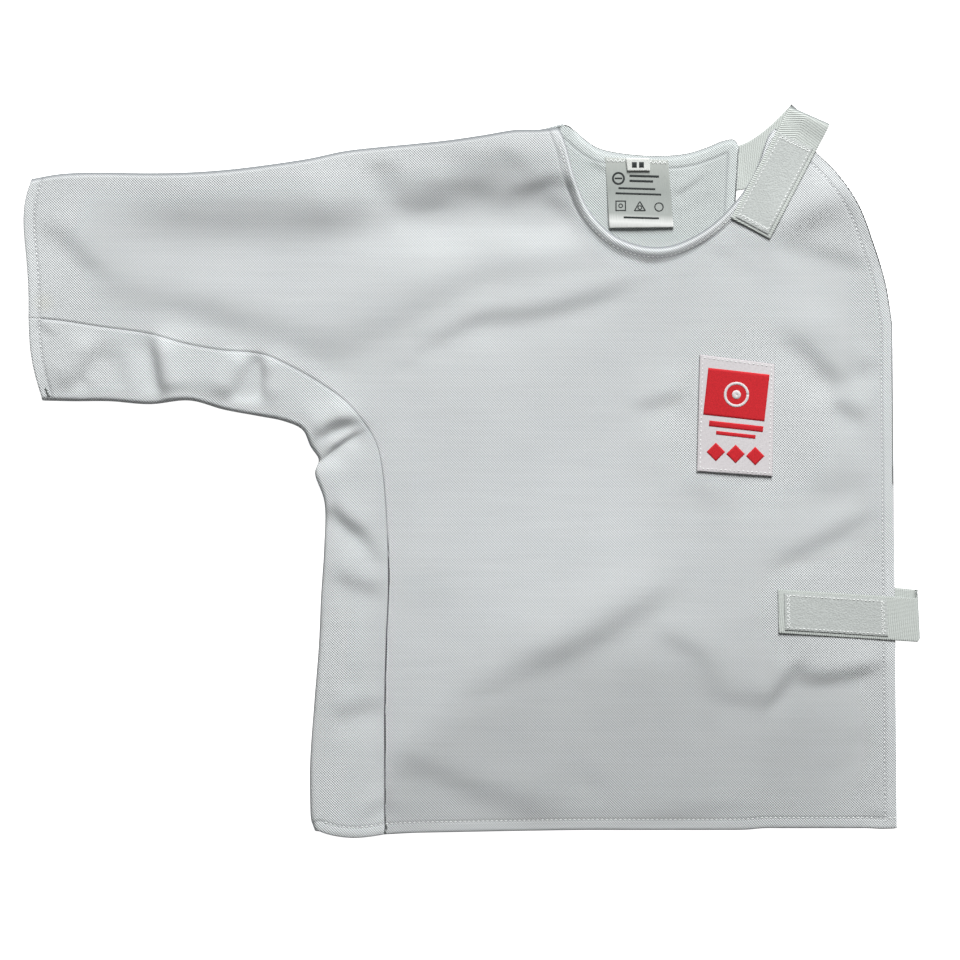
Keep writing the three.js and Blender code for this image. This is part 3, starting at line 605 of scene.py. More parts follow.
def knit_finish(name, tint=(1.0, 1.0, 1.0), stain=False, with_painted_light=False, sewn=False):
    """White piqué-like knit. Dots on a slanting lattice are a cosine in x times a cosine in y, over a
    fine fuzz, with faint uneven whiteness, a pressed groove along the stitch lines with painted shade in
    it, and hems paler by a little than the rest. On the front, painted light and shade lie in zones."""
    f = Finish(name, roughness=0.88, sheen=0.25)
    spot = f.spot()
    across, along = (f.wave(f.axes(spot)[axis], KNIT_PITCH, "COSINE") for axis in "XY")
    knit = f.raised(f.maths("MULTIPLY", across, along))
    fuzz, clouds = f.noise(spot, 1400.0), f.noise(spot, 14.0, 3.0)
    bars = f.noise(f.stretched(spot, (18.0, 210.0, 18.0)), 1.0, 1.0)
    shade = f.blend((knit, 0.62), (fuzz, 0.18), (clouds, 0.10), (bars, 0.10))
    pale = [a * b for a, b in zip(CLOTH_COLOUR, tint)]
    deep = [a * b for a, b in zip(CLOTH_SHADE, tint)]
    colour = f.ramp(shade, [(0.15, deep), (0.56, pale), (0.85, [min(1.0, c * 1.18) for c in pale])])
    relief = f.bump(knit, 0.00046, 0.8)
    relief = f.bump(fuzz, 0.0001, 0.4, relief)
    past = f.read("past_stitches")
    groove = f.maths("MINIMUM", f.maths("MULTIPLY", f.maths("ABSOLUTE", past), 0.55), 1.0)
    relief = f.bump(groove, 0.0004, 0.6, relief)
    # Painted shade in the groove along each stitch line and along the seam.
    line = f.ramp(groove, [(0.0, (0.80, 0.80, 0.81)), (0.75, (1.0, 1.0, 1.0))])
    within = f.maths("ADD", f.maths("MULTIPLY", past, 0.25), 0.75)
    hem = f.ramp(within, [(0.0, (1.09, 1.09, 1.09)), (1.0, (1.0, 1.0, 1.0))])
    colour = f.times(f.times(colour, line), hem)
    # The front's painted light and shade, read from its points.
    if with_painted_light:
        colour = f.times(colour, f.read("painted_light_and_shade"))
    if stain:
        away = f.node("ShaderNodeVectorMath", {"operation": "DISTANCE"}, i0=spot, i1=STAIN_PLACE)
        near = f.maths("MULTIPLY", away.outputs["Value"], 1 / STAIN_REACH)
        mark = f.ramp(near, [(0.0, (1.0, 0.985, 0.93)), (1.0, (1.0, 1.0, 1.0))])
        colour = f.times(colour, mark)
    # Painted shade on the cloth's turned-down rims.
    return f.done(f.painted_rim_shade(colour, sewn), relief)


def runs(*counts):
    """Even steps from 0, a count of them for each run of 1, and the last run with its end."""
    last = len(counts) - 1
    return np.concatenate([
        np.linspace(k, k + 1, count, endpoint=k == last) for k, count in enumerate(counts)
    ])


STAIN_PLACE = (-0.2905, 0.115, 0.0055)
STAIN_REACH = 0.009
fine = np.linspace(0, FRONT_LAST, 700)
front_outer = through(FRONT_OUTER, fine, FRONT_CORNERS)
front_hem_line = through(FRONT_INNER, fine, (HEM,))[fine >= HEM]
free_side_line = np.array([FRONT_HEM[-1], FRONT_NECK[-1]], float)
armhole_line = front_outer[fine >= TIP_END]
neck_line = front_outer[(fine >= SHOULDER) & (fine <= TIP_START)]
cuff_shares = np.linspace(0, 1, 30)
front_cuff_line = between(np.array(SEAM_LINE[0]), np.array(TOP_FOLD[0]), cuff_shares)
front_cuff_line[:, 0] += cuff_bow(np.zeros(30), cuff_shares**CUFF_LEAN)
SEAM_RUN = through(SEAM_LINE, np.linspace(0, HEM, 120))
FRONT_EDGES = [
    (SEAM_RUN, 0.0),
    (front_hem_line, HEM_STITCH), (free_side_line, SIDE_STITCH), (armhole_line, SIDE_STITCH),
    (neck_line, NECK_STITCH), (front_cuff_line, HEM_STITCH),
]
front = shell(
    "front_cloth", front_place, np.linspace(0, FRONT_LAST, 288), runs(5, 96, 14, 6), WALL,
    knit_finish("front knit", stain=True, with_painted_light=True), FRONT_EDGES,
)


# Patches of painted light on the front, and of painted shade where the amount is less than 0.
PAINTED_LIGHT_PATCHES = [  # x, y, half width, half height, how much brighter
    (35, -50, 130, 110, 0.09),
    (14, 212, 75, 30, -0.10),
    (-56, 109, 70, 25, 0.05),
    (262, 175, 32, 55, -0.08),
    (250, 95, 30, 25, -0.05),
    (250, -10, 28, 45, -0.03),
    (200, -90, 40, 22, -0.05),
    (-294, 117, 25, 90, 0.03),
]


def painted_light_and_shade(x, y):
    """Painted light and shade on the front: darker below a bow across its lower part, and a little
    brighter or darker in a few patches, each a bell about one point."""
    low = ease(-12, 30, -110 - (np.abs(x - 170) / 52) ** 3 - y)
    shine = sum(much * np.exp(-(((x - cx) / wide) ** 2) - ((y - cy) / tall) ** 2)
                for cx, cy, wide, tall, much in PAINTED_LIGHT_PATCHES)
    return 1 - 0.17 * low * (1 - 0.5 * ease(225, 285, x)) + shine * (1 - low)


# Each point of the front carries its painted light and shade as an attribute.
corners = np.empty(3 * len(front.data.vertices))
front.data.vertices.foreach_get("co", corners)
corners = corners.reshape(-1, 3) / MM
painted_light_layer = front.data.attributes.new("painted_light_and_shade", "FLOAT", "POINT")
painted_light_layer.data.foreach_set("value", painted_light_and_shade(corners[:, 0], corners[:, 1]))
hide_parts("front_panel")

# The back panel is cut in one with the back half of the sleeve and lies on the table. Only its
# inside shows, through the neck, with the turned and stitched edge of its neck and its end.
BACK_HEM = [
    (-53.5, -245.6), (-28.5, -243.2), (2, -243.2), (32.5, -243), (60, -243), (94, -243),
    (124.5, -243), (155, -243),
]
BACK_HEM_CORNER = (-67.5, -247.4)
BACK_NECK = [
    (62.5, 236), (69.5, 232.5), (77, 226), (85.5, 220.5), (97, 217.5), (113, 215.5),
    (129, 215), (145.5, 216.5), (159, 220.5), (170, 225), (178, 226), (181.5, 221),
]
BACK_BAND = 60.0  # width of the finely worked band by its neck and top fold
BACK_STITCH = 9.0
BACK_END_STITCH = 7.4
STRIP_SHARE = 0.85  # width of the underarm strip's under half, as a share of its upper half
BACK_CREASES = [
    (80, 211, 91.5, 204, 0, 2.5, 0.5, 0.75),
    (136, 188, 158, 203.5, -2, 4.0, 0.5, 0.55),
    (138, 176, 168, 192, 0, 7.0, 0.25, 0.2),
    (100, 200, 128, 206, 0, 4.0, 0.1, 0.2),
]
UNDER_LINE = mix(np.array(STRIP_EDGE), np.array(SEAM_LINE), STRIP_SHARE)
UNDER_LINE_TO_HEM = [*UNDER_LINE[:-1], BACK_HEM_CORNER]


def back_place(s, v):
    """The back's middle surface. v 0 to 1 is flat on the table, 1 to 2 its band by the outer edge,
    and 2 to 3 the curl up to the front along the top fold."""
    inner = through(UNDER_LINE_TO_HEM + BACK_HEM, s, (HEM,))
    seam = beside(UNDER_LINE_TO_HEM, np.minimum(s, HEM - 0.01), -SEAM_LAP / 2)
    inner = np.where((s <= HEM)[..., None], seam, inner)
    outer = through(TOP_FOLD + BACK_NECK, s)
    length = np.linalg.norm(outer - inner, axis=-1)
    fold = 1 - ease(SHOULDER - 0.5, SHOULDER, s)
    inset = WALL / 2 * fold
    end = between(outer, inner, inset / length)
    rise = fold * (height_at(end) - BACK_HEIGHT + SEAM_LAP) / 2
    turn = np.pi / 2 * np.clip(v - 2, 0, 1)
    off = np.select(
        [v <= 1, v <= 2],
        [
            mix(length, BACK_BAND, np.clip(v, 0, 1)),
            mix(BACK_BAND, inset + CURL, np.clip(v - 1, 0, 1)),
        ],
        inset + CURL * (1 - np.sin(turn)),
    )
    spot = between(outer, inner, off / length)
    x, y = spot[..., 0], spot[..., 1]
    z = BACK_HEIGHT + rise * (1 - np.cos(turn))
    inside = ease(SHOULDER + 0.5, SHOULDER + 2, s) * ease(0.6, 3, off)
    for row in BACK_CREASES:
        z = z + inside * np.maximum(crease(x, y, row) + 0.25, 0)
    return np.stack([x + cuff_bow(s, np.clip(1 - off / length, 0, 1) ** CUFF_LEAN), y, z], -1)


BACK_LAST = HEM + len(BACK_HEM)
back_fine = np.linspace(SHOULDER, BACK_LAST, 300)
back_neck_line = through(TOP_FOLD + BACK_NECK, back_fine)
back_end_line = np.array([(181.5, 221), (155, -243)], float)
back_hem_line = through(UNDER_LINE_TO_HEM + BACK_HEM, np.linspace(HEM, BACK_LAST, 40), (HEM,))
BACK_EDGES = [
    (back_neck_line, BACK_STITCH), (back_end_line, BACK_END_STITCH), (back_hem_line, HEM_STITCH),
]
back = shell(
    "back_cloth", back_place, np.linspace(0, BACK_LAST, 208), runs(12, 28, 6), WALL,
    knit_finish("back knit", tint=(0.90, 0.93, 0.91)), BACK_EDGES,
)
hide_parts("back_panel")

# The underarm strip is one piece of the same knit from the cuff under the arm and down the side.
# It is folded along the sleeve's lower edge and the side, and sewn to the front and to the back.
HEM_BOW = 3.6
HEM_CORNER = 2.6  # how far the folded edge's corner turns in at the hem,
CORNER_REACH = 0.12  # over this part of the last section
STRIP_CUFF_BOW = 2.9
CROWN = 3.2  # the fold's least height
CROWN_INSET = 3.2  # how far in from the folded edge the front's height is read for it


def strip_place(s, v):
    """The strip's middle surface. v 0 to 1 runs from the front's seam to the folded edge, 1 to 2
    round the fold as half an ellipse, and 2 to 3 back along the table."""
    near = np.minimum(s, HEM - 0.01)
    slide = through(SEAM_LINE, s) - through(SEAM_LINE, near)
    seam = beside(SEAM_LINE, near, seam_lap(s) / 2) + slide
    under = beside(UNDER_LINE, near, SEAM_LAP / 2) + slide
    edge = through(STRIP_EDGE, s)
    length = np.linalg.norm(edge - seam, axis=-1)
    crown = np.maximum(height_at(between(edge, seam, CROWN_INSET / length)) - 0.3, CROWN)
    half = (crown - BACK_HEIGHT) / 2
    reach = 1.25 * half
    start = between(edge, seam, (WALL / 2 + reach) / length)
    turn = np.pi * np.clip(v - 1, 0, 1)
    upper = between(seam, start, np.clip(v, 0, 1))
    bend = between(start, edge, reach * np.sin(turn) / (WALL / 2 + reach))
    lower = between(start, under, np.clip(v - 2, 0, 1))
    spot = np.where((v <= 1)[..., None], upper, np.where((v <= 2)[..., None], bend, lower))
    x, y = spot[..., 0], spot[..., 1]
    gone = np.linalg.norm(start - upper, axis=-1) / 6
    z = np.where(v <= 1, mix(height(x, y), crown, np.exp(-(gone**2))), BACK_HEIGHT)
    z = np.where((v > 1) & (v <= 2), BACK_HEIGHT + half * (1 + np.cos(turn)), z)
    share = np.minimum(np.clip(v, 0, 1), np.clip(3 - v, 0, 1))
    y = y - HEM_BOW * np.exp(-(((HEM - s) / 0.3) ** 2)) * np.sin(3 * share)
    x = x + HEM_CORNER * np.exp(-(((HEM - s) / CORNER_REACH) ** 2)) * share**8
    return np.stack([x + cuff_bow(s, 0.9 * share, STRIP_CUFF_BOW), y, z], -1)


def strip_rim(s):
    """The strip's upper edge line at one end, from the seam to the fold, as seen from above."""
    shares = np.linspace(0, 1, 20)
    spots = strip_place(np.full(20, float(s)), shares)
    return spots[:, :2]


STRIP_EDGES = [(SEAM_RUN, 0.0), (strip_rim(HEM), HEM_STITCH), (strip_rim(0), HEM_STITCH)]
strip = shell(
    "underarm_cloth", strip_place, np.linspace(0, HEM, 228), runs(34, 12, 12), WALL,
    knit_finish("underarm knit", tint=(1.02, 1.02, 1.02), sewn=True), STRIP_EDGES,
)
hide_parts("underarm_panel")

# The seams' stitches are short runs of white sewing thread, half sunk in the cloth along the hems,
# the neck, the free side and the cuff.
THREAD = 0.58  # millimetres thick
THREAD_COLOUR = (0.88, 0.90, 0.89)


def thread_finish(name, colour):
    """Matt spun thread: its colour varies a little along its twist."""
    f = Finish(name, roughness=0.6, sheen=0.2, specular=0.35)
    twist = f.noise(f.spot(), 2600.0)
    colour = f.ramp(twist, [(0.3, [c * 0.86 for c in colour]), (0.7, colour)])
    return f.done(colour, f.bump(twist, 0.0001, 0.5))


white_thread = thread_finish("sewing thread", THREAD_COLOUR)


def walk(points, pitch):
    """Points spaced pitch apart along a line, and the line's direction at each."""
    gaps = np.linalg.norm(np.diff(points, axis=0), axis=1)
    run = np.concatenate([[0], np.cumsum(gaps)])
    count = max(int(run[-1] / pitch), 1)
    at = (np.arange(count) + 0.5) * run[-1] / count

    def spot_at(far):
        return np.stack([np.interp(far, run, column) for column in points.T], -1)
    return spot_at(at), unit(spot_at(at + 0.3) - spot_at(at - 0.3))


def stitches(name, lines, length, pitch, finish=None, thick=THREAD, slant=0.0):
    """Rows of short threads along lines of points in space. Each is six-sided, thin at its ends,
    and turned by slant from the line's direction."""
    spots, ways = (np.vstack(part) for part in zip(*[walk(line, pitch) for line in lines]))
    up = np.array([0.0, 0.0, 1.0])
    side = unit(np.cross(up, ways))
    turns = slant * np.where(np.arange(len(ways)) % 2, 1, -1)[:, None]
    ways = ways * np.cos(turns) + side * np.sin(turns)
    side = unit(np.cross(up, ways))
    lift = np.cross(ways, side)
    around = np.arange(6) * np.pi / 3
    rings = np.array([(-0.5, 0.3), (-0.36, 0.85), (0.0, 1.0), (0.36, 0.85), (0.5, 0.3)])
    sink = 1 - (2 * rings[:, 0]) ** 2
    points = (
        spots[:, None, None]
        + ways[:, None, None] * rings[:, 0][:, None, None] * length
        + (side[:, None, None] * np.cos(around)[:, None] + lift[:, None, None] * np.sin(around)[:, None])
        * rings[:, 1][:, None, None] * thick / 2
        + lift[:, None, None] * (sink * thick * 0.6 - thick * 0.55)[:, None, None]
    )
    count = len(spots)
    one = np.arange(count * 30).reshape(count, 5, 6)
    ahead = np.roll(one, -1, 2)
    sides = np.stack([one[:, :-1], ahead[:, :-1], ahead[:, 1:], one[:, 1:]], -1).reshape(-1, 4)
    ends = np.concatenate([one[:, 0, [0, 5, 4, 3]], one[:, 0, [0, 3, 2, 1]],
                           one[:, 4, [0, 1, 2, 3]], one[:, 4, [0, 3, 4, 5]]])
    return new_piece(name, points.reshape(-1, 3), np.vstack([sides, ends]), finish or white_thread)


def on_cloth(points, inset):
    """A line on top of the front, moved in by inset to the left of its direction."""
    x, y = (points + inset * left(unit(np.gradient(points, axis=0)))).T
    return np.stack([x, y, height(x, y) + WALL / 2], -1)


def on_shell(place, s, v):
    """A line on the upper face of a shell, at sections s and steps v."""
    s, v = np.broadcast_arrays(np.asarray(s, float), np.asarray(v, float))
    return place(s, v) + np.array([0.0, 0.0, WALL / 2])


neck_steps = np.linspace(SHOULDER + 0.5, 27.5, 160)
neck_stitch_line = on_shell(front_place, neck_steps, 2 + (BAND - NECK_STITCH) / (BAND - WALL / 2 - CURL))
free_side_run = np.vstack([
    between(free_side_line[0], free_side_line[1], np.linspace(0.012, 0.97, 120)),
    front_outer[fine >= TIP_END + 0.3][::-1],
])
front_stitches = stitches(
    "front_stitches",
    [
        on_cloth(front_hem_line, HEM_STITCH),
        on_cloth(free_side_run, SIDE_STITCH),
        neck_stitch_line,
        on_cloth(front_cuff_line[::-1], HEM_STITCH),
    ],
    *STITCH,
)
strip_stitches = stitches(
    "underarm_stitches",
    [on_cloth(strip_rim(HEM)[::-1], HEM_STITCH), on_cloth(strip_rim(0)[:17], HEM_STITCH)],
    *STITCH,
)
LOOSE_END = np.array([(-289.6, 57.5), (-287.0, 51.5)])
loose_height = np.maximum(height_at(LOOSE_END), CROWN) + WALL / 2 + 0.15
loose_stitches = stitches(
    "loose_stitches", [np.column_stack([LOOSE_END, loose_height])], 2.4, 1.0,
    thread_finish("grey thread", (0.20, 0.22, 0.21)), slant=0.9,
)
back_steps = np.linspace(SHOULDER + 2.2, BACK_LAST - 0.15, 120)
back_line = through(TOP_FOLD + BACK_NECK, back_steps)
back_line = back_line - BACK_STITCH * left(unit(np.gradient(back_line, axis=0)))
back_line = back_line[(back_line[:, 0] < 173.0) & (back_line[:, 0] > 66.0)]
back_turn = np.array([(173.2, 216.0), (172.0, 186.0)])
BACK_TOP = BACK_HEIGHT + WALL / 2 + 0.12
back_stitches = stitches(
    "back_stitches",
    [np.insert(line, 2, BACK_TOP, axis=1) for line in (back_line, back_turn)],
    *STITCH,
)

# The shoulder strap is white ribbed elastic webbing, sewn to the end of the back's neck. It goes
# under the front's shoulder tip, is folded over, and lies on the front. The waist strap is like it.
WEBBING_WALL = 0.6
SHOULDER_STRAP = {
    "start": (178.5, 206.3), "bend": (200, 208.3), "fold": (229.4, 242.6), "end": (188.9, 165.2),
    "across": (0.914, -0.405), "end_across": (0.882, -0.471),
    "fold_height": 4.4, "clear": 0.3, "lift": 0.4, "slip": 0.0,
}
WAIST_STRAP = {
    "start": (165, -88), "bend": (240, -88.5), "fold": (303.9, -100.3), "end": (208, -94.5),
    "across": (0.05, -0.999), "end_across": (0.02, -1.0),
    "fold_height": 3.4, "clear": 0.05, "lift": 0.25, "slip": 5.4,
}


def strap_place(strap, t, w, wide=WEBBING):
    """A strap's middle surface: t 0 to 1 a bent line along the table to the fold, 1 to 2 half an
    ellipse round the fold, 2 to 3 a straight run back over the front. w is across it, -1 to 1. The
    lower layer lies beside the upper one by slip, and its start is sewn in between layers of cloth."""
    start, bend, fold, end, across, end_across = (
        np.array(strap[key], float) for key in ("start", "bend", "fold", "end", "across", "end_across")
    )
    foot = WEBBING_WALL / 2
    half = (strap["fold_height"] - foot) / 2
    out = left(across)
    turn_at = fold - out * (1.15 * half + foot)
    side = (wide / 2 * w)[..., None]
    low = np.clip(t, 0, 1)[..., None]
    a, b = mix(start, bend, low), mix(bend, turn_at - across * strap["slip"], low)
    under = a + (b - a) * low - side * left(unit(b - a))
    turn = (np.pi * np.clip(t - 1, 0, 1))[..., None]
    moved = side - strap["slip"] * np.clip(2 - t, 0, 1)[..., None]
    round_fold = turn_at + out * 1.15 * half * np.sin(turn) + across * moved
    high = np.clip(t - 2, 0, 1)[..., None]
    line = mix(turn_at, end, high)
    over = line + mix(across, end_across, high) * side
    spot = np.where((t <= 1)[..., None], under, np.where((t <= 2)[..., None], round_fold, over))
    gone = np.linalg.norm(line - turn_at, axis=-1)
    lying = height_at(over, False) + WALL / 2 + strap["clear"] + foot
    lying = mix(strap["fold_height"], lying, ease(0, 12, gone)) + strap["lift"] * ease(2.7, 3, t)
    sewn_in = foot + 0.4 * (1 - ease(0, 0.15, t))
    z = np.where(t <= 1, sewn_in, np.where(t <= 2, foot + half * (1 - np.cos(turn[..., 0])), lying))
    return np.concatenate([spot, z[..., None]], -1)


RIB_PITCH = 1.45
CORD_PITCH = 0.9


def webbing_finish(name):
    """Ribbed elastic: ribs across the strap are a sine along its length, with finer threads along it."""
    f = Finish(name, roughness=0.75, sheen=0.15)
    axes = f.axes(f.chart())
    rib, cord = f.raised(f.wave(axes["X"], RIB_PITCH)), f.raised(f.wave(axes["Y"], CORD_PITCH))
    fuzz = f.noise(f.spot(), 900.0)
    shade = f.blend((rib, 0.35), (cord, 0.2), (fuzz, 0.45))
    pale = (0.60, 0.64, 0.61)
    colour = f.ramp(shade, [(0.2, [c * 0.84 for c in pale]), (0.75, pale)])
    relief = f.bump(rib, 0.0003, 0.6)
    relief = f.bump(cord, 0.00012, 0.4, relief)
    # Painted shade on the webbing's turned-down rims.
    return f.done(f.painted_rim_shade(colour), f.bump(fuzz, 0.0001, 0.4, relief))


STRAP_STEPS = (runs(40, 16, 70), np.linspace(-1, 1, 22))
shoulder_strap = shell(
    "shoulder_webbing", lambda t, w: strap_place(SHOULDER_STRAP, t, w), *STRAP_STEPS,
    WEBBING_WALL, webbing_finish("shoulder webbing"),
)
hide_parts("shoulder_strap")
waist_strap = shell(
    "waist_webbing", lambda t, w: strap_place(WAIST_STRAP, t, w), *STRAP_STEPS,
    WEBBING_WALL, webbing_finish("waist webbing"),
)
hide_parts("waist_strap")

# Each strap carries a length of white hook-and-loop tape on its upper layer, with a soft looped
# face and a stitched edge all round.
TAPE = 25.0
TAPE_WALL = 0.4
TAPE_LIFT = 0.05


def tape_place(strap, first, last):
    """The strap's own surface between two shares of its length, moved up off it."""
    def place(t, w):
        spot = strap_place(strap, mix(first, last, t), w, TAPE)
        spot[..., 2] += WEBBING_WALL / 2 + TAPE_LIFT + TAPE_WALL / 2
        return spot
    return place


def tape_finish(name):
    """Looped tape: a tangled pile from two noises."""
    f = Finish(name, roughness=0.9, sheen=0.3)
    spot = f.spot()
    loops = f.noise(spot, 1500.0, 4.0)
    tufts = f.node("ShaderNodeTexVoronoi", None, Vector=spot, Scale=900.0).outputs["Distance"]
    shade = f.blend((loops, 0.6), (tufts, 0.4))
    colour = f.ramp(shade, [(0.25, (0.42, 0.443, 0.43)), (0.6, (0.52, 0.55, 0.535))])
    relief = f.bump(tufts, 0.00025, 0.5)
    # Painted shade on the tape's turned-down rims.
    return f.done(f.painted_rim_shade(colour), f.bump(loops, 0.0002, 0.6, relief))


def border(place, first, last, count, rise):
    """The closed line round a piece from its place first to last in each direction, count points to
    a side, on its face."""
    (a, b), (c, d) = first, last
    corners = [(a, b), (c, b), (c, d), (a, d), (a, b)]
    line = np.vstack([
        place(np.linspace(p[0], q[0], count), np.linspace(p[1], q[1], count))
        for p, q in zip(corners[:-1], corners[1:])
    ])
    keep = np.concatenate([[True], np.linalg.norm(np.diff(line, axis=0), axis=1) > 1e-6])
    return line[keep] + np.array([0.0, 0.0, rise])


def add_tape(name, strap, first, last, node):
    """A tape with its stitches, on one strap."""
    place = tape_place(strap, first, last)
    tape = shell(
        name, place, runs(60), np.linspace(-1, 1, 20), TAPE_WALL,
        tape_finish(name.replace("_", " ")),
    )
    line = border(place, (0.03, -0.88), (0.97, 0.88), 30, TAPE_WALL / 2)
    edging = stitches(name + "_stitches", [line], 2.2, 2.7)
    zigzag = stitches(
        name + "_end_stitches",
        [place(np.full(20, share), np.linspace(-0.86, 0.86, 20)) + np.array([0, 0, TAPE_WALL / 2])
         for share in (0.05, 0.955)],
        2.6, 1.5, slant=0.7,
    )
    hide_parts(node)
    return tape, edging, zigzag


shoulder_tape = add_tape("shoulder_tape", SHOULDER_STRAP, 2.2, 2.975, "shoulder_strap_tape")
waist_tape = add_tape("waist_tape", WAIST_STRAP, 2.21, 2.955, "waist_strap_tape")
list(shoulder_tape[1:])
list(waist_tape[1:])

# The neck label is a folded satin ribbon sewn in at the back of the neck, printed with plain
# laundry signs and bars. A small woven tab is sewn in over its top edge.
LABEL_WALL = 1.0
LABEL_TALL = 48.0
TAB_WALL = 0.8
LABEL = [(90, 214), (133.5, 212), (137, 166), (93.2, 165.5)]
TAB = [(104.5, 213), (120.5, 213), (121, 204.5), (105.5, 204.5)]


def laid(corners, rest):
    """A four-cornered piece: its corners mixed by u and v, at the height that rest gives."""
    a, b, c, d = (np.array(corner, float) for corner in corners)

    def place(u, v):
        u, v = u[..., None], v[..., None]
        spot = (a + (b - a) * u) * (1 - v) + (d + (c - d) * u) * v
        return np.concatenate([spot, rest(spot[..., 0], spot[..., 1])[..., None]], -1)
    return place


def above(rest, rise):
    """The height of a surface that lies rise above another's."""
    return lambda x, y: rest(x, y) + rise


def label_rest(x, y):
    """The label's middle: near the back at its top, standing off a little at its folded end."""
    curve = 0.25 * np.sin((x - 92) / 13)
    return WALL + SEAM_GAP + LABEL_WALL / 2 + (1.3 + curve) * ease(200, 168, y)


def satin_finish(name):
    """Silver satin: fine slanting threads, smooth enough to shine, with a painted highlight in a band by
    the fold and painted shade above it.
    """
    f = Finish(name, roughness=0.33, sheen=0.1, specular=0.5)
    chart = f.chart()
    threads = f.noise(f.stretched(chart, (3000.0, 160.0, 1.0)), 1.0)
    down = f.maths("MULTIPLY", f.axes(chart)["Y"], 1 / (LABEL_TALL * MM))
    # Painted highlight and shade along the label's length: a bright band by the fold, darker above it.
    painted_gleam = f.ramp(down, [
        (0.0, (0.52, 0.55, 0.52)), (0.45, (0.36, 0.39, 0.37)), (0.78, (0.42, 0.45, 0.43)),
        (0.90, (0.86, 0.88, 0.86)), (0.98, (0.60, 0.62, 0.60)),
    ])
    grain = f.ramp(threads, [(0.3, (0.88, 0.88, 0.88)), (0.7, (1.0, 1.0, 1.0))])
    # Painted shade on the label's turned-down rims.
    return f.done(f.painted_rim_shade(f.times(painted_gleam, grain)), f.bump(threads, 0.0001, 0.5))


def printed_finish(name, colour):
    """Flat print with the cloth's grain showing through a little."""
    f = Finish(name, roughness=0.7)
    grain = f.noise(f.spot(), 1800.0)
    shades = [(0.3, [c * 0.75 for c in colour]), (0.7, [min(1.0, c * 1.15) for c in colour])]
    return f.done(f.ramp(grain, shades), f.bump(grain, 0.0001, 0.5))


label = shell(
    "label_satin", laid(LABEL, label_rest), runs(40), runs(44), LABEL_WALL,
    satin_finish("label satin"),
)
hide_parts("neck_label")
tab_rest = above(label_rest, LABEL_WALL / 2 + SEAM_GAP + TAB_WALL / 2)
tab = shell(
    "tab_cloth", laid(TAB, tab_rest), runs(16), runs(10), TAB_WALL,
    printed_finish("tab white", (0.72, 0.74, 0.71)),
)
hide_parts("size_tab")

PRINT_WALL = 0.16
PRINT_RISE = 0.03  # of its middle over the surface it is on


def print_mark(name, outline, us, vs, rest, finish):
    """A thin raised mark: outline(u, v) gives its places on the piece, and rest its height."""
    def place(u, v):
        x, y = outline(u, v)
        return np.stack([x, y, rest(x, y)], -1)
    return shell(name, place, us, vs, PRINT_WALL, finish, arc=2)


def print_marks(rows, shape, counts, rest, finish):
    """A mark for each row, which holds its name and the numbers of its shape."""
    return [print_mark(name, shape(*sizes), *counts, rest, finish) for name, *sizes in rows]


def bar(cx, cy, wide, tall, lean=0.0):
    """A bar about a middle point, leaning by an angle: u runs along it and v up it."""
    def outline(u, v):
        a, b = (u - 0.5) * wide, (v - 0.5) * tall
        return cx + a * np.cos(lean) - b * np.sin(lean), cy + a * np.sin(lean) + b * np.cos(lean)
    return outline


def ring(cx, cy, outer, inner):
    """A ring: u goes round and v from its outer to its inner edge."""
    def outline(u, v):
        r, turn = outer + (inner - outer) * v, 2 * np.pi * u
        return cx + r * np.cos(turn), cy + r * np.sin(turn)
    return outline


BAR_STEPS = (runs(8), runs(4))
RING_STEPS = (runs(40), runs(3))
ink = printed_finish("label ink", (0.035, 0.04, 0.04))
label_top = above(label_rest, LABEL_WALL / 2 + PRINT_RISE)
tab_top = above(tab_rest, TAB_WALL / 2 + PRINT_RISE)
LABEL_LEAN = -0.03
LABEL_RINGS = [  # name, x, y, outer and inner radius
    ("label_ring", 99.5, 199.5, 4.4, 3.1),
    ("label_sign_0", 101.0, 180.8, 1.6, 0.9),
    ("label_sign_1", 114.0, 179.6, 1.6, 0.9),
    ("label_sign_2", 127.0, 180.0, 3.2, 2.4),
]
LABEL_BARS = [  # name, x, y, width, height, lean
    ("label_ring_bar", 99.5, 199.5, 5.0, 1.1, 0.0),
    ("label_bar_0", 117.0, 201.0, 20.0, 1.5, LABEL_LEAN),
    ("label_bar_1", 115.0, 197.6, 16.0, 1.5, LABEL_LEAN),
    ("label_line_0", 112.0, 192.5, 25.0, 1.3, LABEL_LEAN),
    ("label_line_1", 113.0, 188.9, 31.0, 1.3, LABEL_LEAN),
    ("label_square_0", 101.0, 177.6, 7.2, 0.8, 0.0),
    ("label_square_1", 101.0, 184.0, 7.2, 0.8, 0.0),
    ("label_square_2", 97.8, 180.8, 7.2, 0.8, np.pi / 2),
    ("label_square_3", 104.2, 180.8, 7.2, 0.8, np.pi / 2),
    ("label_triangle_0", 114.0, 177.5, 7.4, 0.8, 0.0),
    ("label_triangle_1", 112.1, 180.5, 7.4, 0.8, 1.05),
    ("label_triangle_2", 115.9, 180.5, 7.4, 0.8, -1.05),
    ("label_foot", 115.0, 172.6, 24.0, 1.3, LABEL_LEAN),
]
TAB_BARS = [("tab_bar_0", 110.3, 208.6, 3.3, 3.8), ("tab_bar_1", 115.1, 208.6, 3.3, 3.8)]
label_marks = print_marks(LABEL_RINGS, ring, RING_STEPS, label_top, ink)
label_marks += print_marks(LABEL_BARS, bar, BAR_STEPS, label_top, ink)
tab_marks = print_marks(TAB_BARS, bar, BAR_STEPS, tab_top, ink)
label_edge = np.array([(91.5, 211.6), (132.2, 209.8)])
label_overlock = stitches(
    "label_stitches",
    [np.column_stack([label_edge, label_top(label_edge[:, 0], label_edge[:, 1])])], 3.4, 1.5, slant=1.0,
)

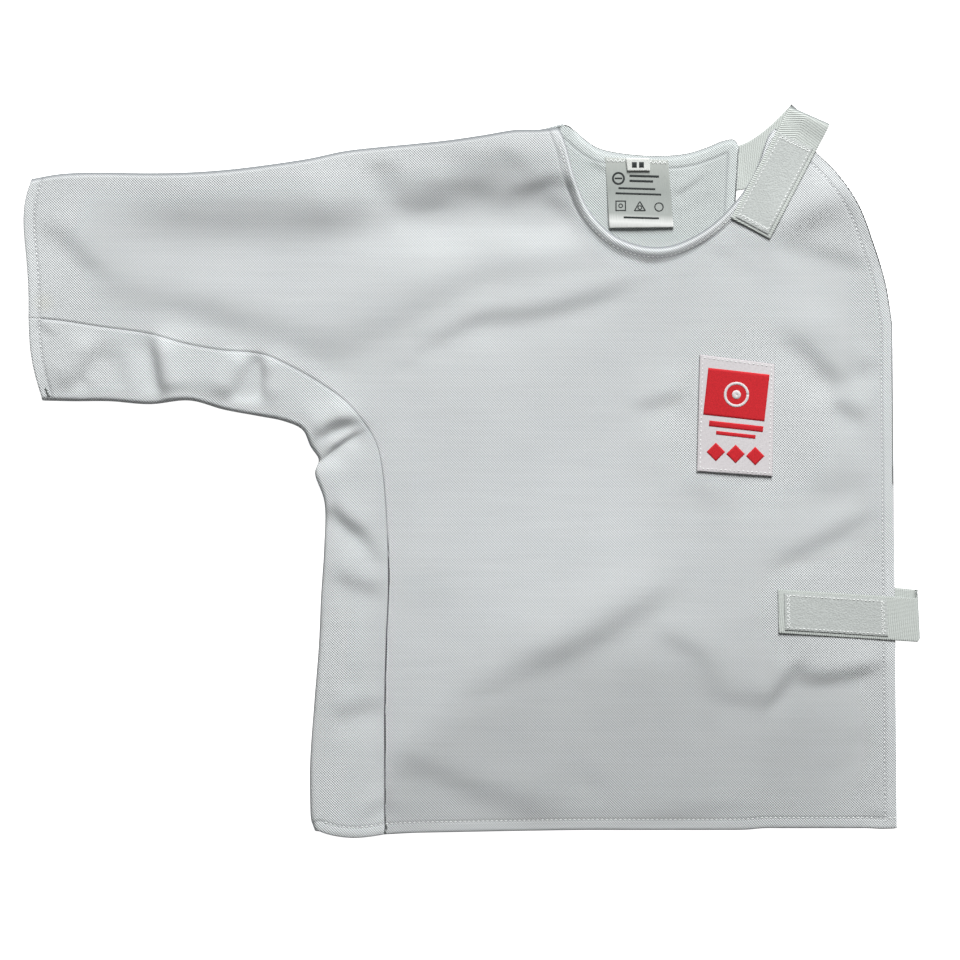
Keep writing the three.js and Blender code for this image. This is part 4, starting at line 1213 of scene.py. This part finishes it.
# The chest patch is a pale woven square, stitched down all round. It carries a plain design of its
# own in the same red: a block with a ring, two thin bars and three diamonds.
PATCH_WALL = 1.0
PATCH_PITCH = 0.8  # from one rib of its weave to the next
PATCH = [(154.5, 80), (205.5, 73.5), (204, -3), (152.5, 0.5)]
PATCH_RED = (0.578, 0.018, 0.026)


def patch_rest(x, y):
    """The front's own surface, moved up by half of each wall and the gap."""
    return height(x, y, False) + WALL / 2 + SEAM_GAP + PATCH_WALL / 2


def patch_finish(name):
    """Close woven ground: fine ribs across a fuzz, pale with a faint pink."""
    f = Finish(name, roughness=0.7, sheen=0.1)
    rib = f.wave(f.axes(f.chart())["Y"], PATCH_PITCH)
    shade = f.maths("MULTIPLY_ADD", rib, 0.2, f.noise(f.spot(), 1300.0))
    colour = f.ramp(shade, [(0.2, (0.56, 0.53, 0.545)), (0.75, (0.69, 0.665, 0.675))])
    # Painted shade on the patch's turned-down rims.
    return f.done(f.painted_rim_shade(colour), f.bump(shade, 0.00012, 0.5))


patch_place = laid(PATCH, patch_rest)
patch = shell(
    "patch_cloth", patch_place, runs(40), runs(56), PATCH_WALL,
    patch_finish("patch ground"),
)
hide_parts("chest_patch")
patch_red = printed_finish("patch red", PATCH_RED)
patch_pale = printed_finish("patch pale", (0.70, 0.66, 0.67))
patch_top = above(patch_rest, PATCH_WALL / 2 + PRINT_RISE)
patch_high = above(patch_top, 0.12)
PATCH_LEAN = -0.11
BLOCK_STEPS = (runs(24), runs(20))
BLOCK = (179.4, 52.5)  # its middle
PATCH_RINGS = [("patch_ring", *BLOCK, 8.6, 6.8), ("patch_dot", *BLOCK, 3.0, 0.02)]
PATCH_BARS = [
    ("patch_bar_0", 179.2, 31.0, 37.0, 4.0, PATCH_LEAN),
    ("patch_bar_1", 179.0, 25.2, 27.0, 2.6, PATCH_LEAN),
]
DIAMONDS = [
    (f"patch_diamond_{k}", 165.4 + 13.4 * k, 13.6 - 1.4 * k, 9.0, 9.0, np.pi / 4) for k in range(3)
]
patch_marks = [
    print_mark("patch_block", bar(*BLOCK, 42.0, 32.0, PATCH_LEAN), *BLOCK_STEPS, patch_top, patch_red),
    *print_marks(PATCH_RINGS, ring, RING_STEPS, patch_high, patch_pale),
    *print_marks(PATCH_BARS, bar, BAR_STEPS, patch_top, patch_red),
    *print_marks(DIAMONDS, bar, (runs(8), runs(8)), patch_top, patch_red),
]
PATCH_INSET = np.array([2.1 / 51, 2.1 / 77])  # of its stitches, as shares of its width and height
patch_line = border(patch_place, PATCH_INSET, 1 - PATCH_INSET, 40, PATCH_WALL / 2)
patch_stitches = stitches("patch_stitches", [patch_line], 1.9, 3.0)
